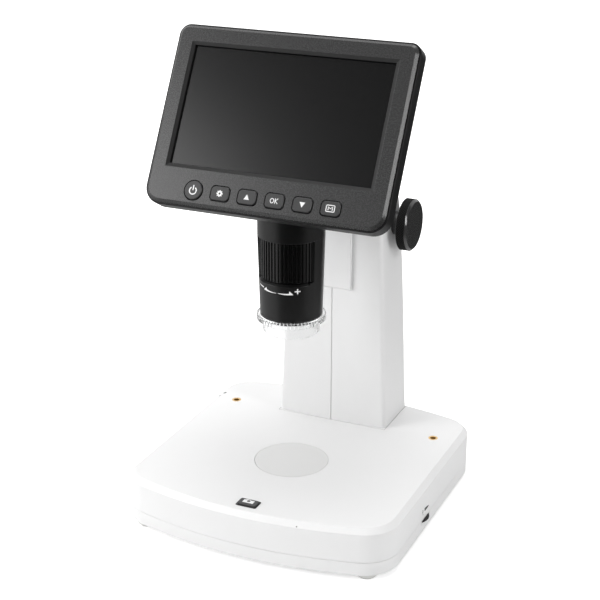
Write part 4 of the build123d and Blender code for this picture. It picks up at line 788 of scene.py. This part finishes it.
left_arrow = [(-31.8, 135.3), (-28.5, 136.3), (-24.8, 137.2), (-24.2, 136.3), (-21.0, 135.85),
              (-17.0, 135.65), (-13.0, 135.5), (-9.0, 135.42), (-6.0, 135.36), (-3.0, 135.3), (-3.0, 135.14),
              (-6.0, 135.1), (-9.0, 135.06), (-13.0, 135.04), (-17.0, 135.04), (-21.0, 135.06),
              (-25.0, 135.12), (-28.5, 135.2)]
right_arrow = [(0.1, 135.42), (4.0, 135.44), (8.0, 135.46), (12.0, 135.46), (16.0, 135.5), (20.2, 135.6),
               (21.0, 136.95), (24.4, 136.0), (27.8, 134.95), (25.0, 134.8), (20.0, 134.76), (16.0, 134.76),
               (12.0, 134.82), (8.0, 134.92), (4.0, 135.06), (0.1, 135.2)]
minus = [(-48.2, 136.68), (-32.6, 136.22), (-32.6, 136.78), (-48.2, 137.24)]
plus_bar = [(30.2, 136.4), (40.4, 136.4), (40.4, 137.05), (30.2, 137.05)]
plus_stem = [(34.2, 135.25), (36.4, 135.25), (36.4, 138.2), (34.2, 138.2)]
for name, outline, rise in (("sign_turn_minus", minus, 0.00003), ("sign_turn_left", left_arrow, 0.00003),
                            ("sign_turn_right", right_arrow, 0.00003), ("sign_turn_plus", plus_bar, 0.00003),
                            ("sign_turn_plus_stem", plus_stem, 0.000031)):
    printed(name, [outline], on_sleeve, "head", white_ink, rise, 2.5)

# ---------------------------------------------------------------------------
# Clear tip: a ribbed ring of clear acrylic pressed into the lower end of the
# barrel, which spreads the light of the lamp ring, and the toothed black nose
# behind its ribs. The objective lens above it is clear too.
# ---------------------------------------------------------------------------
clear_tint = (0.95, 0.953, 0.953)
clear_plastic = bpy.data.materials.new("clear_plastic")
clear_plastic.use_nodes = True
clear_bsdf = clear_plastic.node_tree.nodes["Principled BSDF"]
clear_bsdf.inputs["Base Color"].default_value = (*clear_tint, 1.0)
clear_bsdf.inputs["IOR"].default_value = 1.24
clear_bsdf.inputs["Transmission Weight"].default_value = 1.0
surface_in(clear_plastic.node_tree, clear_tint, 0.01, 0.17, 4000.0)
dress(clear_plastic, "objective_lens")

steps_per_rib = 8
tip_steps = 54 * steps_per_rib
rib_start = 0.0182
rib_narrowing = 0.978
tooth_foot = 0.118
tooth_gap = 0.00035
to_barrel = Matrix.Translation((0.0, barrel_y, 0.0))


def rib_step(vertex):
    """Which of the steps of its rib a point stands on, counted from the rib's edge."""
    return round(math.atan2(vertex.co.y, vertex.co.x) / math.tau * tip_steps) % steps_per_rib


tip_profile = [(13.6, 108.3), (14.1, 108.3), (15.3, 109.4), (15.3, 114.7), (18.1, 115.4), (18.6, 115.9),
               (18.6, 118.45), (18.4, 118.7), (16.85, 118.7), (16.85, 116.9), (13.6, 116.9)]
tip_mesh = turned_mesh(tip_profile, tip_steps, True)
for vertex in tip_mesh.vertices:
    if vertex.co.to_2d().length > rib_start and rib_step(vertex) == 0:
        vertex.co.x *= rib_narrowing
        vertex.co.y *= rib_narrowing
tip_mesh.transform(to_barrel)
set_piece("ribbed_tip", tip_mesh, clear_plastic, "head", "clear_tip")
nose_profile = [(15.2, 117.3), (16.7, 117.3), (16.7, 118.6), (16.76, 119.52), (15.2, 119.52)]
nose_mesh = turned_mesh(nose_profile, tip_steps, True)
for vertex in nose_mesh.vertices:
    if vertex.co.z < tooth_foot and rib_step(vertex) in (0, 1, 7):
        vertex.co.z = tooth_foot + tooth_gap
nose_mesh.transform(to_barrel)
set_piece("toothed_nose", nose_mesh, barrel_plastic, "head")

# ---------------------------------------------------------------------------
# Monitor: a dark grey front frame and a black back shell around the panel and
# its satin cover glass, with a knuckle that tilts on the bracket. The glass is
# stepped: its front stands in the window, its edge lies behind the frame.
# ---------------------------------------------------------------------------
face_middle = Vector((0.0, -0.02951, 0.2310))
face_tilt = math.radians(29.43)
face_right = Vector((1.0, 0.0, 0.0))
face_up = Vector((0.0, math.sin(face_tilt), math.cos(face_tilt)))
face_out = Vector((0.0, -math.cos(face_tilt), math.sin(face_tilt)))
window_drop = 0.7
bezel_grey = (0.0325, 0.0325, 0.0328)
bezel_roughness = 0.27
grey_bezel = moulded("grey_bezel_plastic", bezel_grey, bezel_roughness, 2200.0, 0.00001, 0.06, 0.0, 0.45,
                     soft_edge=0.0002)
bezel_tree = grey_bezel.node_tree
# Painted shade: inside a box round the window the bezel turns near black (and rougher), for the shade of the
# recess round the glass.
rim_sides = []
window_height = face_middle.dot(face_up) - window_drop * 0.001
for axis, middle, half in ((face_right, 0.0, 0.0573), (face_up, window_height, 0.0335)):
    along = bezel_tree.nodes.new("ShaderNodeVectorMath")
    along.operation = "DOT_PRODUCT"
    along.inputs[1].default_value = axis
    bezel_tree.links.new(bezel_tree.nodes["Texture Coordinate"].outputs["Object"], along.inputs[0])
    rim_sides.append(arithmetic(bezel_tree, "COMPARE", along.outputs["Value"], middle, half))
window_rim_shade_mask = arithmetic(bezel_tree, "MULTIPLY", *rim_sides)
rim_painted_shade = bezel_tree.nodes.new("ShaderNodeMix")
rim_painted_shade.data_type = "RGBA"
rim_painted_shade.inputs["A"].default_value = (*bezel_grey, 1.0)
rim_painted_shade.inputs["B"].default_value = (0.004, 0.004, 0.004, 1.0)
bezel_tree.links.new(window_rim_shade_mask, rim_painted_shade.inputs["Factor"])
bezel_surface = bezel_tree.nodes["Group"]
bezel_tree.links.new(rim_painted_shade.outputs["Result"], bezel_surface.inputs["Colour"])
rim_roughness = ranged(bezel_tree, window_rim_shade_mask, (0.0, 1.0), (bezel_roughness, 0.6))
bezel_tree.links.new(rim_roughness, bezel_surface.inputs["Roughness"])
dress(grey_bezel, "monitor_bezel")
shell_plastic = moulded("black_shell_plastic", (0.006, 0.006, 0.0062), 0.42, 2600.0, 0.00001, 0.1, 0.0, 0.2,
                        soft_edge=0.0003)
dress(shell_plastic, "monitor_shell", "tilt_knuckle")
screen_cover = moulded("screen_cover_glass", (0.003, 0.003, 0.0031), 0.22, 4000.0, 0.0000001, 0.02, 0.0, 0.34)
dress(screen_cover, "lcd_panel")
dress(circuit_board, "logic_board", "keypad_board")
cell_wrap = moulded("battery_wrap", (0.3, 0.32, 0.36), 0.35, 500.0, 0.00002, 0.06)
dress(cell_wrap, "battery")
dress(dark_key, "button_power", "button_settings", "button_up", "button_ok", "button_down", "button_mode")
shell_row = face_middle - face_up * 0.042 - face_out * 0.0175
shell_places = [(shell_row + face_right * side * 0.0485) * 1000 for side in (-1, 1)]
set_screws("monitor_cross_screws", [(drawn_screw(2.8, 1.8, 1.25, 10.0), -face_out, shell_places)], black_zinc,
           "monitor", "monitor_screws")

glass_sections = []
for half_width, half_height, depth in ((58.9, 35.1, 4.4), (58.9, 35.1, 3.02), (55.42, 31.62, 3.02),
                                       (55.42, 31.62, 2.05), (55.3, 31.5, 1.93), (55.1, 31.3, 1.9)):
    corners = [(side * half_width, rise * half_height - window_drop)
               for side, rise in ((-1, -1), (1, -1), (1, 1), (-1, 1))]
    glass_sections.append((corners, -depth))
glass_mesh = lofted_mesh(glass_sections)
glass_mesh.transform(Matrix.Translation(face_middle)
                     @ Matrix((face_right, face_up, face_out)).transposed().to_4x4())
set_piece("cover_glass", glass_mesh, screen_cover, "monitor", "screen_glass")

# ---------------------------------------------------------------------------
# Key signs: white pad-printed signs on the six keys, power, settings, up, OK,
# down and M. The ink stands 0.02 mm proud.
# ---------------------------------------------------------------------------
gear = []
for tooth in range(8):
    for share, radius in ((-0.36, 1.25), (-0.22, 1.75), (0.22, 1.75), (0.36, 1.25)):
        turn = math.radians(45.0 * (tooth + share))
        gear.append((radius * math.cos(turn), radius * math.sin(turn)))
letter_o = [(x * 0.8 - 1.15, y) for x, y in ring_points(1.15, steps=20)]
letter_m = [(-1.1, -0.95), (-1.1, 0.8), (0.0, -0.1), (1.1, 0.8), (1.1, -0.95)]
power_arc = ring_points(1.9, 125, 415, 24, (0.0, -0.25))
key_signs = {
    "power": [stroke(power_arc, 0.62) + stroke([(0.0, -0.1), (0.0, 2.6)], 0.62)],
    "settings": [[gear, ring_points(0.55, steps=14)]],
    "up": [[[(-1.5, -1.25), (1.5, -1.25), (0.0, 1.45)]]],
    "ok": [stroke(letter_o, 0.38, True),
           stroke([(0.5, -1.34), (0.5, 1.34)], 0.38)
           + stroke([(1.95, 1.34), (0.66, 0.08), (2.0, -1.34)], 0.38)],
    "down": [[[(-1.5, 1.25), (0.0, -1.45), (1.5, 1.25)]]],
    "mode": [stroke(rounded(2.2, 1.6, 0.4, steps=5), 0.42, True), stroke(letter_m, 0.46)],
}
first_key = face_middle - face_right * 0.0383 - face_up * 0.04515 + face_out * 0.0007
key_pitch = 0.01514
for position, (sign, films) in enumerate(key_signs.items()):
    key_middle = first_key + face_right * key_pitch * position
    for number, outlines in enumerate(films):
        printed("sign_%s_%d" % (sign, number), outlines, laid_flat(key_middle, face_right, face_up),
                "key_" + sign, white_ink)
